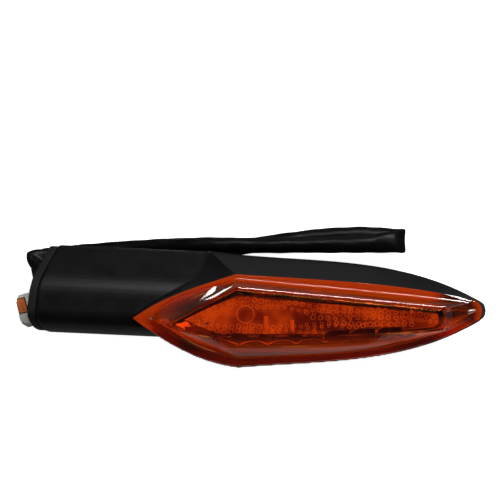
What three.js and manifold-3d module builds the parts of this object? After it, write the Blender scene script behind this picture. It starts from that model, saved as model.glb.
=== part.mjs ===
// LED turn signal for a motorcycle: a stem and leaf-shaped head with its lens, light
// unit, base and lead. Millimetres, +Z up. The lamp lies on the flat land of its back
// with the lens facing up. X runs along its length, from the base to the tip.
import * as THREE from 'three';
import { mergeVertices } from 'three/addons/utils/BufferGeometryUtils.js';
import Module from 'manifold-3d';

const wasm = await Module();
wasm.setup();

// ---------------------------------------------------------------- driving dimensions
const GAP = 0.3;

// Leaf outline. Corners: left tip, top corner, tip top, tip bottom, bottom corner.
// Each edge bows out by two amounts, a third and two thirds of the way along it.
const LENS_CORNERS = [[-33.7, -4.9], [-5.2, 7.5], [61.5, 0], [62.3, -5.3], [-4.5, -18.4]];
const LENS_BOWS = [[3.7, 1], [0.8, 2.9], [1.6, 1.6], [8.3, 2.5], [3.7, 2.2]];
const CREASE_CORNERS = [[-28.8, -5], [-5.2, 6.1], [59.3, -0.7], [60.2, -5], [-4.6, -16.4]];
const CREASE_BOWS = [[1.6, 0], [0, 0.6], [0.8, 0.8], [7.6, 2.7], [2, 1.5]];
const FRONT_CORNERS = [[-24.2, -8.2], [-4.8, 2.3], [52, -3.2], [51.2, -9.6], [-11.6, -11.7]];
const FRONT_BOWS = [[0.3, 0.3], [0, 0.1], [0.9, 0.9], [1.6, -0.2], [0.6, 0.8]];
const STEP_CORNERS = [[-26.4, -6.9], [-5, 4], [53.4, -2.6], [53.2, -9.3], [-6.6, -14.3]];
const STEP_BOWS = [[0.9, 0.1], [0, 0.8], [0.9, 0.9], [4, 1.4], [1.6, 1.2]];
const POINTS_PER_EDGE = [6, 12, 4, 12, 6];

const LENS_BACK_Z = 22;
const LENS_RIM_Z = 23.2;
const CREASE_Z = 23.8;
const STEP_Z = 28.3;
const FRONT_Z = 31;
const LENS_WALL = 1.8;
const LENS_SIDE_WALL = 1.3;
const LENS_EDGE_WALL = 0.6;

// Head: outlines of the rim, the ridge, the back shoulder and the flat land.
const HEAD_RIM_Z = LENS_BACK_Z - GAP;
const HEAD_LIP = 0.35;
const RIDGE_Z = 14;
const RIDGE_CORNERS = [[-24, 4], [-13.2, 16.3], [64.6, 0.9], [64.6, -3.2], [-7, -13.4]];
const RIDGE_BOWS = [[0.4, 0.4], [1.1, 10.4], [0.8, 0.8], [6.2, 1.4], [1.6, 1.6]];
const RIDGE_BREAK = 1.6;
const SHOULDER_Z = 5.5;
const BACK_EASE = 0.62;
const LOW_SHOULDER_Z = 2;
const FLANK_Z = 9.6;
const SHOULDER_CORNERS = [[-17, 1], [-9, 11.6], [52, 0.6], [52.4, -3.4], [-7, -9.2]];
const SHOULDER_BOWS = [[1, 1], [1.4, 4.6], [1, 1], [3.4, 1.4], [1, 1]];
const LAND_CORNERS = [[-11, 0.6], [-6, 6.4], [38, 1.4], [38.4, -2.6], [-5, -5.8]];
const LAND_BOWS = [[0.8, 0.8], [0.6, 1.8], [0.8, 0.8], [1.6, 0.8], [0.8, 0.8]];
const HEAD_WALL = 2.2;
const HOLLOW_LEVELS = [3, 7, 11, 14, 15.6, 19.4];
const MOUTH_Z = 20.6;
const SEAT_LEDGE = 2.6;
const SEAL_DEPTH = 0.5;
const SEAL_INSET = 0.9;
const SEAL_WIDTH = 0.9;
const SEAL_SQUEEZE = 0.1;

// Stem: a section in the Y-Z plane, swept along the stem, which turns a little in plan.
const STEM_SECTION = [
  [18.2, 14.2, 1.6], [6.9, 20.9, 4], [-4.6, 20.9, 2.4], [-7.9, 16.4, 2.4],
  [-6.6, 10.6, 2.6], [-2.4, 8.2, 2.6], [10.8, 8.2, 3], [17.2, 11.2, 1.8],
];
const STEM_TURN = THREE.MathUtils.degToRad(-2.6);
const STEM_PIVOT_X = -55;
const STEM_END_X = -13.5;
const STEM_WALL = 2.2;

// Slanted base plane: its outward normal, and the point it passes through.
const BASE_POINT = new THREE.Vector3(-61, -1, 20.9);
const BASE_SLOPE_Z = 0.587;
const BASE_SLOPE_Y = 0.09;
const BASE_NORMAL = new THREE.Vector3(-1, BASE_SLOPE_Y, -BASE_SLOPE_Z).normalize();
const GASKET_THICK = 1.9;
const PLATE_THICK = 2.4;
const PLATE_INSET = 0.4;

// Base fittings, as places on the base plane given by Y and Z.
const LEAD_EXIT = [8.4, 13];
const PIP_AT = [-0.6, 18.1];
const PIP_LENGTH = 2.9;
const GROMMET_RADIUS = 2.5;
const GROMMET_NOSE = 2.6;
const GROMMET_BORE = 1.8;
const INSERT_AT = [0.6, 12.6];
const INSERT_RADIUS = 2.6;
const INSERT_BORE = 1.75;
const INSERT_LENGTH = 6.6;
const INSERT_COLLAR = 0.9;
const COLLAR_THICK = 1.4;

// Lead: sleeve, wires and connector.
const SLEEVE_RADIUS = 2.15;
const WIRE_RADIUS = 0.65;
const SLEEVE_STEPS = 78;
const STEM_WIRE_ROUTE = [[-46, 8, 14.4], [-36, 7, 14.4], [-26, 6, 14.4], [-17, 5, 14.6]];
const WIRE_PADS = [[-10, 2.6], [-10, 0]];
const SLEEVE_ROUTE = [
  [-61, 9.6, 8.9], [-61.7, 11.2, 7.2], [-62.2, 13.2, 5.6], [-62, 15.1, 4.3],
  [-60.6, 16.5, 3.4], [-57.8, 17.2, 2.8], [-53, 17.8, 2.5], [-46, 18.5, 2.4],
  [-37, 19.1, 2.9], [-26, 19.4, 4.6], [-14, 19.4, 6.4], [0, 19.2, 6.7], [14, 19.3, 6.6],
  [26, 19.5, 6.6], [34, 19.8, 6.6], [40, 20.3, 6.4], [42.5, 21, 4.6], [40, 21.9, 2.6],
  [34, 22.9, 2.25], [24, 23, 2.25], [12, 22, 2.25], [0, 20.2, 2.25], [-10, 18.6, 2.25],
  [-20, 16, 2.25], [-30, 12.4, 2.6], [-38, 9.3, 3], [-44, 7, 3.2], [-48.6, 5.5, 3.2],
];
const CONNECTOR_TURN = THREE.MathUtils.degToRad(15);
const CONNECTOR_NOSE = new THREE.Vector3(-67.6, 0.3, 0);
const CONNECTOR_LENGTH = 15;
const CONNECTOR_WIDTH = 8.6;
const CONNECTOR_HEIGHT = 6.4;
const NOSE_CHAMFER = 1.4;
const CAVITY_SPACING = 4;
const CAVITY_SIZE = 2.4;
const CAVITY_Z = 2.5;
const SEAL_SEAT = 3.1;
const SEAL_SEAT_X = 10.5;
const RETAINER_SIZE = [2.2, 4, 2];
const RETAINER_AT = [1.5, 1, 5.6];
const LATCH_PIVOT = [4, 0, 7.5];
const LATCH_LENGTH = 6.4;
const LATCH_WIDTH = 3.4;
const LATCH_THICK = 0.9;

// Board and light unit.
const BOARD_Z = 10;
const BOARD_THICK = 1.6;
const BOARD_CORNERS = [[-13, 2], [-9.5, 10.4], [46, 0], [46, -3.4], [-7, -8.2]];
const BOARD_BOWS = [[0.6, 0.6], [1.4, 3.4], [0.6, 0.6], [3, 1], [0.8, 0.8]];
const LED_SIZE = [3, 2.8, 0.9];
const LED_ROW_X = [-8, 1, 10, 19, 28, 37];
const LED_ROW_Y = -3.4;
const RESISTOR_SIZE = [3.2, 1.6, 0.6];
const DIODE_SIZE = [4.2, 2.6, 1.2];
const DRIVER_SIZE = [4.9, 3.9, 1.4];
const SCREW_AT = [[-5, 3.4], [33.5, 1.8]];
const BOSS_RADIUS = 2;
const BOSS_TOP = BOARD_Z - GAP;
const BOSS_FOOT = 1.5;
const SCREW_CORE = 0.8;
const SCREW_BITE = 4.5;

const TRAY_CORNERS = [[-11, -3], [-5, 2.5], [44, -1.5], [44, -6.5], [-5, -9.6]];
const TRAY_BOWS = [[0.6, 0.6], [0, 1.6], [0.8, 0.8], [2.4, 1], [0.8, 0.8]];
const TRAY_FLOOR_Z = 14.4;
const TRAY_TOP_Z = 21.4;
const TRAY_WALL = 1;
const TRAY_TOP_CORNERS = [[-24.5, -6.4], [-5.3, 2.2], [50, -3.2], [50.6, -7], [-4.8, -14.4]];
const TRAY_TOP_BOWS = [[2, 0.6], [-0.2, 2.2], [0.8, 0.8], [6.8, 1.8], [3, 1.8]];
const OPTIC_CORNERS = [[-19.4, -6.2], [-5, 0.4], [50.4, -4.5], [49.4, -8.3], [-9.2, -10.3]];
const OPTIC_BOWS = [[0.3, 0.3], [0, 0.2], [0.9, 0.9], [1.9, 0.7], [0.4, 0.4]];
const SKIRT_CORNERS = [[-18, -7], [-5, -1.5], [46, -5.6], [44.4, -7.8], [-6.6, -13.3]];
const SKIRT_BOWS = [[0.3, 0.3], [0, 0.1], [0.8, 0.8], [3.6, 1.2], [1, 1]];
const SKIRT_Z = 24.2;
const OPTIC_Z = 25.4;
const OPTIC_THICK = 1.8;
const OPTIC_LEGS = [[5.5, -6.8], [14.5, -6.8], [32.5, -5.6]];
const LEG_SIZE = [1, 2.2];
const FIN_X = [22.6, 29.8, 37];
const FIN_SIZE = [6, 2.6, 1.6];
const FIN_Y = -9.9;
const FIN_RISE = 0.06;

// ---------------------------------------------------------------- colours
const BLACK_PLASTIC = { color: 0x1b1a1c, roughness: 0.55, metalness: 0 };
const BLACK_RUBBER = { color: 0x141415, roughness: 0.8, metalness: 0 };
const SLEEVE_PVC = { color: 0x101114, roughness: 0.4, metalness: 0 };
const AMBER = { color: 0xd95a10, roughness: 0.08, metalness: 0 };
const OPTIC = { color: 0xf0761a, roughness: 0.2, metalness: 0 };
const REFLECTOR = { color: 0xb8b8b8, roughness: 0.25, metalness: 0.6 };
const BOARD_GREEN = { color: 0x1f5a36, roughness: 0.5, metalness: 0 };
const LED_WHITE = { color: 0xf3efdc, roughness: 0.4, metalness: 0 };
const CERAMIC = { color: 0x202022, roughness: 0.5, metalness: 0 };
const STEEL = { color: 0x9a9da1, roughness: 0.35, metalness: 1 };
const BRASS = { color: 0xb9933f, roughness: 0.35, metalness: 1 };
const NYLON = { color: 0xe4ddd2, roughness: 0.45, metalness: 0 };
const ORANGE_PBT = { color: 0xe0701c, roughness: 0.45, metalness: 0 };
const WIRE_BLACK = { color: 0x161616, roughness: 0.5, metalness: 0 };
const WIRE_GREEN = { color: 0x2c6b3c, roughness: 0.5, metalness: 0 };
const SEAL_BLUE = { color: 0x3c6e9a, roughness: 0.7, metalness: 0 };

// ---------------------------------------------------------------- helpers
const group = new THREE.Group();
const UP = new THREE.Vector3(0, 0, 1);
const ALONG = new THREE.Vector3(1, 0, 0);

function addMesh(name, geometry, look) {
  const mesh = new THREE.Mesh(geometry, new THREE.MeshStandardMaterial(look));
  mesh.name = name;
  group.add(mesh);
  return mesh;
}

function toSolid(geometry) {
  const bare = geometry.clone();
  bare.deleteAttribute('normal');
  bare.deleteAttribute('uv');
  const merged = mergeVertices(bare, 1e-4);
  return new wasm.Manifold(new wasm.Mesh({
    numProp: 3,
    vertProperties: new Float32Array(merged.attributes.position.array),
    triVerts: new Uint32Array(merged.index.array),
  }));
}

function toGeometry(solid) {
  const mesh = solid.getMesh();
  const geometry = new THREE.BufferGeometry();
  geometry.setAttribute('position', new THREE.Float32BufferAttribute(mesh.vertProperties, 3));
  geometry.setIndex(new THREE.Uint32BufferAttribute(mesh.triVerts, 1));
  return geometry;
}

function boxSolid(sizeX, sizeY, sizeZ, x, y, z) {
  return toSolid(new THREE.BoxGeometry(sizeX, sizeY, sizeZ).translate(x, y, z));
}

// A cylinder or cone whose axis runs from one point along a direction.
function rodGeometry(from, direction, length, radius, endRadius = radius, sides = 16) {
  const rod = new THREE.CylinderGeometry(endRadius, radius, length, sides);
  rod.translate(0, length / 2, 0);
  const turn = new THREE.Quaternion().setFromUnitVectors(new THREE.Vector3(0, 1, 0), direction);
  rod.applyQuaternion(turn);
  rod.translate(from.x, from.y, from.z);
  return rod;
}

// An arc is split into twice as many sides as its segments.
function tube(points, radius, steps, sides = 8) {
  const path = new THREE.CatmullRomCurve3(points.map((p) => new THREE.Vector3(...p)));
  const ring = new THREE.Shape();
  ring.absarc(0, 0, radius, 0, 2 * Math.PI, false);
  return new THREE.ExtrudeGeometry(ring, { steps, extrudePath: path, curveSegments: sides / 2 });
}

// ---------------------------------------------------------------- leaf outlines
// An outline is its corners and bows. Its edges are cubic curves between corners.
function edgeControls(from, to, bows) {
  const along = to.clone().sub(from);
  const out = new THREE.Vector2(-along.y, along.x).normalize();
  const first = from.clone().addScaledVector(along, 1 / 3).addScaledVector(out, bows[0]);
  const second = from.clone().addScaledVector(along, 2 / 3).addScaledVector(out, bows[1]);
  return [first, second];
}

function leaf(corners, bows) {
  return { corners: corners.map((c) => new THREE.Vector2(...c)), bows };
}

function leafPoints(outline) {
  const points = [];
  outline.corners.forEach((from, i) => {
    const to = outline.corners[(i + 1) % outline.corners.length];
    const curve = new THREE.CubicBezierCurve(from, ...edgeControls(from, to, outline.bows[i]), to);
    points.push(...curve.getPoints(POINTS_PER_EDGE[i]).slice(0, -1));
  });
  return points.reverse();
}

// Moves each corner inwards so that the edges next to it move by the distance given.
function insetLeaf(outline, distance) {
  const { corners, bows } = outline;
  const count = corners.length;
  const moved = corners.map((corner, i) => {
    const before = (i + count - 1) % count;
    const arriving = edgeControls(corners[before], corner, bows[before])[1];
    const leaving = edgeControls(corner, corners[(i + 1) % count], bows[i])[0];
    const dirIn = corner.clone().sub(arriving).normalize();
    const dirOut = leaving.sub(corner).normalize();
    const normalIn = new THREE.Vector2(dirIn.y, -dirIn.x);
    const normalOut = new THREE.Vector2(dirOut.y, -dirOut.x);
    const middle = normalIn.add(normalOut).normalize();
    const stretch = Math.max(0.45, middle.dot(normalOut));
    return corner.clone().addScaledVector(middle, distance / stretch);
  });
  return { corners: moved, bows };
}

function mixLeaf(a, b, t) {
  return {
    corners: a.corners.map((c, i) => c.clone().lerp(b.corners[i], t)),
    bows: a.bows.map((bow, i) => bow.map((v, k) => v + (b.bows[i][k] - v) * t)),
  };
}

// A closed solid through a stack of outlines with equal point counts, lowest first.
function stackGeometry(levels) {
  const rings = levels.map(({ outline, z }) => leafPoints(outline).map((p) => [p.x, p.y, z]));
  const count = rings[0].length;
  const index = [];
  for (let level = 0; level + 1 < rings.length; level += 1) {
    for (let i = 0; i < count; i += 1) {
      const next = (i + 1) % count;
      const low = level * count;
      const high = low + count;
      index.push(low + i, low + next, high + next, low + i, high + next, high + i);
    }
  }
  const flat = (ring) => ring.map((p) => new THREE.Vector2(p[0], p[1]));
  const top = (rings.length - 1) * count;
  THREE.ShapeUtils.triangulateShape(flat(rings[0]), []).forEach(([a, b, c]) => index.push(c, b, a));
  THREE.ShapeUtils.triangulateShape(flat(rings.at(-1)), [])
    .forEach(([a, b, c]) => index.push(top + a, top + b, top + c));
  const geometry = new THREE.BufferGeometry();
  geometry.setAttribute('position', new THREE.Float32BufferAttribute(rings.flat(2), 3));
  geometry.setIndex(index);
  return geometry;
}

// ---------------------------------------------------------------- base and stem frame
// The X at which the base plane, moved outwards by a distance, meets a given Y and Z.
function baseX(y, z, outwards = 0) {
  const run = BASE_SLOPE_Z * (BASE_POINT.z - z) + BASE_SLOPE_Y * (y - BASE_POINT.y);
  return BASE_POINT.x + run + outwards / BASE_NORMAL.x;
}

function basePoint([y, z], outwards = 0) {
  return new THREE.Vector3(baseX(y, z), y, z).addScaledVector(BASE_NORMAL, outwards);
}

// A large block that fills everything outside the base plane moved outwards.
function outsideBase(outwards) {
  const size = 120;
  const block = new THREE.BoxGeometry(size, size, size);
  const turn = new THREE.Quaternion().setFromUnitVectors(ALONG, BASE_NORMAL);
  block.translate(size / 2, 0, 0).applyQuaternion(turn);
  const at = basePoint([5, 14], outwards);
  block.translate(at.x, at.y, at.z);
  return toSolid(block);
}

// A closed shape from corners given as X, Y and radius, moved inwards by an inset.
function roundedShape(corners, inset = 0) {
  const count = corners.length;
  const centre = new THREE.Vector2();
  corners.forEach(([x, y]) => centre.add(new THREE.Vector2(x, y).divideScalar(count)));
  const spots = corners.map((c, i) => {
    const here = new THREE.Vector2(...c);
    const before = new THREE.Vector2(...corners[(i + count - 1) % count]);
    const after = new THREE.Vector2(...corners[(i + 1) % count]);
    const dirIn = here.clone().sub(before).normalize();
    const dirOut = after.sub(here).normalize();
    const middle = new THREE.Vector2(-dirIn.y - dirOut.y, dirIn.x + dirOut.x).normalize();
    if (middle.dot(centre.clone().sub(here)) < 0) middle.negate();
    const stretch = Math.abs(middle.x * -dirOut.y + middle.y * dirOut.x);
    return here.addScaledVector(middle, inset / stretch);
  });
  const shape = new THREE.Shape();
  spots.forEach((spot, i) => {
    const before = spots[(i + count - 1) % count];
    const after = spots[(i + 1) % count];
    const room = 0.45 * Math.min(spot.distanceTo(before), spot.distanceTo(after));
    const radius = Math.min(corners[i][2], room);
    const start = spot.clone().add(before.clone().sub(spot).setLength(radius));
    const end = spot.clone().add(after.clone().sub(spot).setLength(radius));
    if (i === 0) shape.moveTo(start.x, start.y);
    else shape.lineTo(start.x, start.y);
    shape.quadraticCurveTo(spot.x, spot.y, end.x, end.y);
  });
  shape.closePath();
  return shape;
}

// The stem's section, moved inwards, swept from left of the base to a given X.
function stemSolid(inset, endX) {
  const startX = STEM_PIVOT_X - 30;
  const sweep = new THREE.ExtrudeGeometry(roundedShape(STEM_SECTION, inset), {
    depth: endX - startX, bevelEnabled: false, curveSegments: 4, steps: 1,
  });
  sweep.applyMatrix4(new THREE.Matrix4().set(0, 0, 1, startX, 1, 0, 0, 0, 0, 1, 0, 0, 0, 0, 0, 1));
  sweep.translate(-STEM_PIVOT_X, 0, 0).rotateZ(STEM_TURN).translate(STEM_PIVOT_X, 0, 0);
  return toSolid(sweep);
}

function baseHole([y, z], radius, depth, sides = 16) {
  const start = basePoint([y, z], depth);
  const inwards = BASE_NORMAL.clone().negate();
  return toSolid(rodGeometry(start, inwards, 2 * depth, radius, radius, sides));
}

// ---------------------------------------------------------------- housing
const lensLeaf = leaf(LENS_CORNERS, LENS_BOWS);
const rimLeaf = insetLeaf(lensLeaf, -HEAD_LIP);
const ridgeLeaf = leaf(RIDGE_CORNERS, RIDGE_BOWS);
const shoulderLeaf = leaf(SHOULDER_CORNERS, SHOULDER_BOWS);
const landLeaf = leaf(LAND_CORNERS, LAND_BOWS);

const HEAD_LEVELS = [
  { outline: landLeaf, z: 0 },
  { outline: mixLeaf(landLeaf, shoulderLeaf, BACK_EASE), z: LOW_SHOULDER_Z },
  { outline: shoulderLeaf, z: SHOULDER_Z },
  { outline: mixLeaf(shoulderLeaf, ridgeLeaf, BACK_EASE), z: FLANK_Z },
  { outline: ridgeLeaf, z: RIDGE_Z },
  { outline: mixLeaf(ridgeLeaf, rimLeaf, 0.12), z: RIDGE_Z + RIDGE_BREAK },
  { outline: rimLeaf, z: HEAD_RIM_Z },
];

// The head's outline at any height.
function headOutlineAt(z) {
  const above = Math.max(1, HEAD_LEVELS.findIndex((level) => level.z >= z));
  const low = HEAD_LEVELS[above - 1];
  const high = HEAD_LEVELS[above];
  return mixLeaf(low.outline, high.outline, (z - low.z) / (high.z - low.z));
}

function headHollow() {
  const mouth = insetLeaf(lensLeaf, SEAT_LEDGE);
  const levels = HOLLOW_LEVELS.map((z) => ({ outline: insetLeaf(headOutlineAt(z), HEAD_WALL), z }));
  levels.push({ outline: mouth, z: MOUTH_Z }, { outline: mouth, z: HEAD_RIM_Z + 1 });
  return toSolid(stackGeometry(levels));
}

function bossSolid([x, y]) {
  const foot = new THREE.Vector3(x, y, BOSS_FOOT);
  const boss = toSolid(rodGeometry(foot, UP, BOSS_TOP - BOSS_FOOT, BOSS_RADIUS));
  const pilot = new THREE.Vector3(x, y, BOSS_TOP - SCREW_BITE - 0.5);
  return boss.subtract(toSolid(rodGeometry(pilot, UP, 8, SCREW_CORE + GAP, SCREW_CORE + GAP, 10)));
}

// A ring that follows the lens edge between two heights. Slack widens it on both sides.
function sealRing(low, high, slack) {
  const outer = insetLeaf(lensLeaf, SEAL_INSET - slack);
  const inner = insetLeaf(lensLeaf, SEAL_INSET + SEAL_WIDTH + slack);
  const wall = (outline, from, to) => toSolid(stackGeometry([{ outline, z: from }, { outline, z: to }]));
  return wall(outer, low, high).subtract(wall(inner, low - 1, high + 1));
}

function housingSolid() {
  let shell = stemSolid(0, STEM_END_X).add(toSolid(stackGeometry(HEAD_LEVELS)));
  shell = shell.subtract(headHollow());
  shell = shell.subtract(stemSolid(STEM_WALL, STEM_END_X - 3));
  shell = shell.subtract(outsideBase(0));
  shell = shell.subtract(sealRing(HEAD_RIM_Z - SEAL_DEPTH - GAP, HEAD_RIM_Z + 1, 0.2));
  SCREW_AT.forEach((at) => {
    shell = shell.add(bossSolid(at));
  });
  return shell;
}
addMesh('housing', toGeometry(housingSolid()), BLACK_PLASTIC);

// ---------------------------------------------------------------- lens and its seal
const creaseLeaf = leaf(CREASE_CORNERS, CREASE_BOWS);
const stepLeaf = leaf(STEP_CORNERS, STEP_BOWS);
const frontLeaf = leaf(FRONT_CORNERS, FRONT_BOWS);

function lensSolid() {
  const outer = toSolid(stackGeometry([
    { outline: lensLeaf, z: LENS_BACK_Z },
    { outline: lensLeaf, z: LENS_RIM_Z },
    { outline: creaseLeaf, z: CREASE_Z },
    { outline: stepLeaf, z: STEP_Z },
    { outline: frontLeaf, z: FRONT_Z },
  ]));
  const inner = toSolid(stackGeometry([
    { outline: insetLeaf(lensLeaf, SEAT_LEDGE), z: LENS_BACK_Z - 1 },
    { outline: insetLeaf(lensLeaf, SEAT_LEDGE), z: LENS_RIM_Z },
    { outline: insetLeaf(stepLeaf, LENS_SIDE_WALL), z: STEP_Z - 0.9 },
    { outline: insetLeaf(frontLeaf, LENS_EDGE_WALL), z: FRONT_Z - LENS_WALL },
  ]));
  return outer.subtract(inner);
}
addMesh('lens', toGeometry(lensSolid()), AMBER);

// A ring of rubber in the housing's groove, standing up to the lens.
const sealSolid = sealRing(HEAD_RIM_Z - SEAL_DEPTH, LENS_BACK_Z - SEAL_SQUEEZE, 0);
addMesh('lens_seal', toGeometry(sealSolid), BLACK_RUBBER);

// ---------------------------------------------------------------- light unit
const boardLeaf = leaf(BOARD_CORNERS, BOARD_BOWS);

function boardSolid() {
  let board = toSolid(stackGeometry([
    { outline: boardLeaf, z: BOARD_Z },
    { outline: boardLeaf, z: BOARD_Z + BOARD_THICK },
  ]));
  for (const [x, y] of SCREW_AT) {
    const from = new THREE.Vector3(x, y, BOARD_Z - 1);
    board = board.subtract(toSolid(rodGeometry(from, UP, BOARD_THICK + 2, SCREW_CORE + 0.4)));
  }
  return board;
}
addMesh('circuit_board', toGeometry(boardSolid()), BOARD_GREEN);

const BOARD_FACE_Z = BOARD_Z + BOARD_THICK + GAP;

function onBoard(name, [sizeX, sizeY, sizeZ], x, y, look) {
  const chip = new THREE.BoxGeometry(sizeX, sizeY, sizeZ);
  chip.translate(x, y, BOARD_FACE_Z + sizeZ / 2);
  addMesh(name, chip, look);
}

LED_ROW_X.forEach((x, i) => onBoard(`led_${i + 1}`, LED_SIZE, x, LED_ROW_Y, LED_WHITE));
onBoard('resistor_1', RESISTOR_SIZE, -3.5, -6.4, CERAMIC);
onBoard('resistor_2', RESISTOR_SIZE, 5.5, -6.4, CERAMIC);
onBoard('protection_diode', DIODE_SIZE, 5.5, 2, CERAMIC);
onBoard('driver_chip', DRIVER_SIZE, 15, 1.8, CERAMIC);

SCREW_AT.forEach(([x, y], i) => {
  const headRod = rodGeometry(new THREE.Vector3(x, y, BOARD_FACE_Z), UP, 1.3, 1.9, 1.5, 14);
  const tip = new THREE.Vector3(x, y, BOSS_TOP - SCREW_BITE);
  const shankRod = rodGeometry(tip, UP, BOARD_FACE_Z - tip.z + 0.2, SCREW_CORE, SCREW_CORE, 10);
  const crossX = boxSolid(2, 0.5, 1, x, y, BOARD_FACE_Z + 1.3);
  const crossY = boxSolid(0.5, 2, 1, x, y, BOARD_FACE_Z + 1.3);
  const screw = toSolid(headRod).add(toSolid(shankRod)).subtract(crossX).subtract(crossY);
  addMesh(`board_screw_${i + 1}`, toGeometry(screw), STEEL);
});

// The reflector is a tray with sloped sides. Its floor has a window over each LED and a
// clearance hole over each screw.
function reflectorSolid() {
  const top = leaf(TRAY_TOP_CORNERS, TRAY_TOP_BOWS);
  const floor = leaf(TRAY_CORNERS, TRAY_BOWS);
  const outer = toSolid(stackGeometry([
    { outline: floor, z: TRAY_FLOOR_Z },
    { outline: top, z: TRAY_TOP_Z },
  ]));
  const inner = toSolid(stackGeometry([
    { outline: insetLeaf(floor, TRAY_WALL), z: TRAY_FLOOR_Z + TRAY_WALL },
    { outline: insetLeaf(top, TRAY_WALL), z: TRAY_TOP_Z - 0.5 },
    { outline: insetLeaf(top, TRAY_WALL), z: TRAY_TOP_Z + 1 },
  ]));
  let tray = outer.subtract(inner);
  LED_ROW_X.forEach((x) => {
    const window = boxSolid(LED_SIZE[0] + 1.2, LED_SIZE[1] + 1.2, 4, x, LED_ROW_Y, TRAY_FLOOR_Z);
    tray = tray.subtract(window);
  });
  SCREW_AT.forEach(([x, y]) => {
    const from = new THREE.Vector3(x, y, TRAY_FLOOR_Z - 1);
    tray = tray.subtract(toSolid(rodGeometry(from, UP, 3, 2.4)));
  });
  return tray;
}
addMesh('reflector', toGeometry(reflectorSolid()), REFLECTOR);

// The inner optic is a plate on legs, with a wider skirt below it and three stepped fins
// along its lower edge.
function opticSolid() {
  const outline = leaf(OPTIC_CORNERS, OPTIC_BOWS);
  const skirt = leaf(SKIRT_CORNERS, SKIRT_BOWS);
  const top = OPTIC_Z + OPTIC_THICK;
  let plate = toSolid(stackGeometry([{ outline, z: OPTIC_Z - 0.2 }, { outline, z: top }]));
  plate = plate.add(toSolid(stackGeometry([{ outline: skirt, z: SKIRT_Z }, { outline: skirt, z: OPTIC_Z }])));
  const legFoot = TRAY_FLOOR_Z + TRAY_WALL + GAP;
  const legHeight = OPTIC_Z + 0.5 - legFoot;
  OPTIC_LEGS.forEach(([x, y]) => {
    plate = plate.add(boxSolid(LEG_SIZE[0], LEG_SIZE[1], legHeight, x, y, legFoot + legHeight / 2));
  });
  FIN_X.forEach((x) => {
    const y = FIN_Y + FIN_RISE * (x - FIN_X[0]);
    plate = plate.add(boxSolid(...FIN_SIZE, x, y, top - FIN_SIZE[2] / 2));
  });
  return plate;
}
addMesh('inner_optic', toGeometry(opticSolid()), OPTIC);

// ---------------------------------------------------------------- base
// The section between two distances outside the base plane.
function baseSlice(inset, from, to) {
  const bar = stemSolid(inset, STEM_PIVOT_X + 14);
  return bar.subtract(outsideBase(to)).intersect(outsideBase(from));
}

function drillBase(solid, spot, radius, sides = 16) {
  return solid.subtract(baseHole(spot, radius, 14, sides));
}

function gasketSolid() {
  let pad = baseSlice(0.35, GAP, GAP + GASKET_THICK);
  pad = drillBase(pad, LEAD_EXIT, GROMMET_RADIUS + GAP);
  pad = drillBase(pad, INSERT_AT, INSERT_RADIUS + GAP);
  const pip = basePoint(PIP_AT, GASKET_THICK);
  return pad.add(toSolid(rodGeometry(pip, BASE_NORMAL, GAP + PIP_LENGTH, 1.1, 0.9, 12)));
}
addMesh('base_gasket', toGeometry(gasketSolid()), BLACK_RUBBER);

function plateSolid() {
  let plate = baseSlice(STEM_WALL + GAP, -PLATE_THICK, -PLATE_INSET);
  plate = drillBase(plate, LEAD_EXIT, GROMMET_RADIUS + GAP);
  return drillBase(plate, INSERT_AT, INSERT_RADIUS + GAP);
}
addMesh('base_plate', toGeometry(plateSolid()), BLACK_PLASTIC);

const INWARDS = BASE_NORMAL.clone().negate();

function insertSolid() {
  const face = basePoint(INSERT_AT);
  const body = rodGeometry(face, INWARDS, INSERT_LENGTH, INSERT_RADIUS, INSERT_RADIUS, 18);
  const behindPlate = basePoint(INSERT_AT, -PLATE_THICK - GAP);
  const collarRadius = INSERT_RADIUS + INSERT_COLLAR;
  const collar = rodGeometry(behindPlate, INWARDS, COLLAR_THICK, collarRadius, collarRadius, 6);
  const bore = rodGeometry(basePoint(INSERT_AT, 2), INWARDS, INSERT_LENGTH + 4, INSERT_BORE);
  return toSolid(body).add(toSolid(collar)).subtract(toSolid(bore));
}
addMesh('mounting_insert', toGeometry(insertSolid()), STEEL);

// The grommet sits in the plate and the gasket and tapers towards the sleeve.
function grommetSolid() {
  const inner = basePoint(LEAD_EXIT, -PLATE_THICK - 0.6);
  const straight = PLATE_THICK + 0.6 + GAP + GASKET_THICK;
  const body = rodGeometry(inner, BASE_NORMAL, straight, GROMMET_RADIUS);
  const shoulder = basePoint(LEAD_EXIT, GAP + GASKET_THICK - 0.2);
  const nose = rodGeometry(shoulder, BASE_NORMAL, GROMMET_NOSE, GROMMET_RADIUS, SLEEVE_RADIUS);
  const behind = basePoint(LEAD_EXIT, -PLATE_THICK - 2);
  const bore = rodGeometry(behind, BASE_NORMAL, 14, GROMMET_BORE, GROMMET_BORE, 12);
  return toSolid(body).add(toSolid(nose)).subtract(toSolid(bore));
}
addMesh('lead_grommet', toGeometry(grommetSolid()), BLACK_RUBBER);

// ---------------------------------------------------------------- connector
// Built along +X from its nose at the origin, then turned and set on the surface.
const connector = new THREE.Group();
connector.position.copy(CONNECTOR_NOSE);
connector.rotation.z = CONNECTOR_TURN;
group.add(connector);
connector.updateMatrix();

const CAVITIES = [['live', 1], ['ground', -1]].map(([name, side]) => (
  { name, y: side * CAVITY_SPACING / 2 }
));
const fromConnector = (x, y, z) => new THREE.Vector3(x, y, z).applyMatrix4(connector.matrix);

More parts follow.
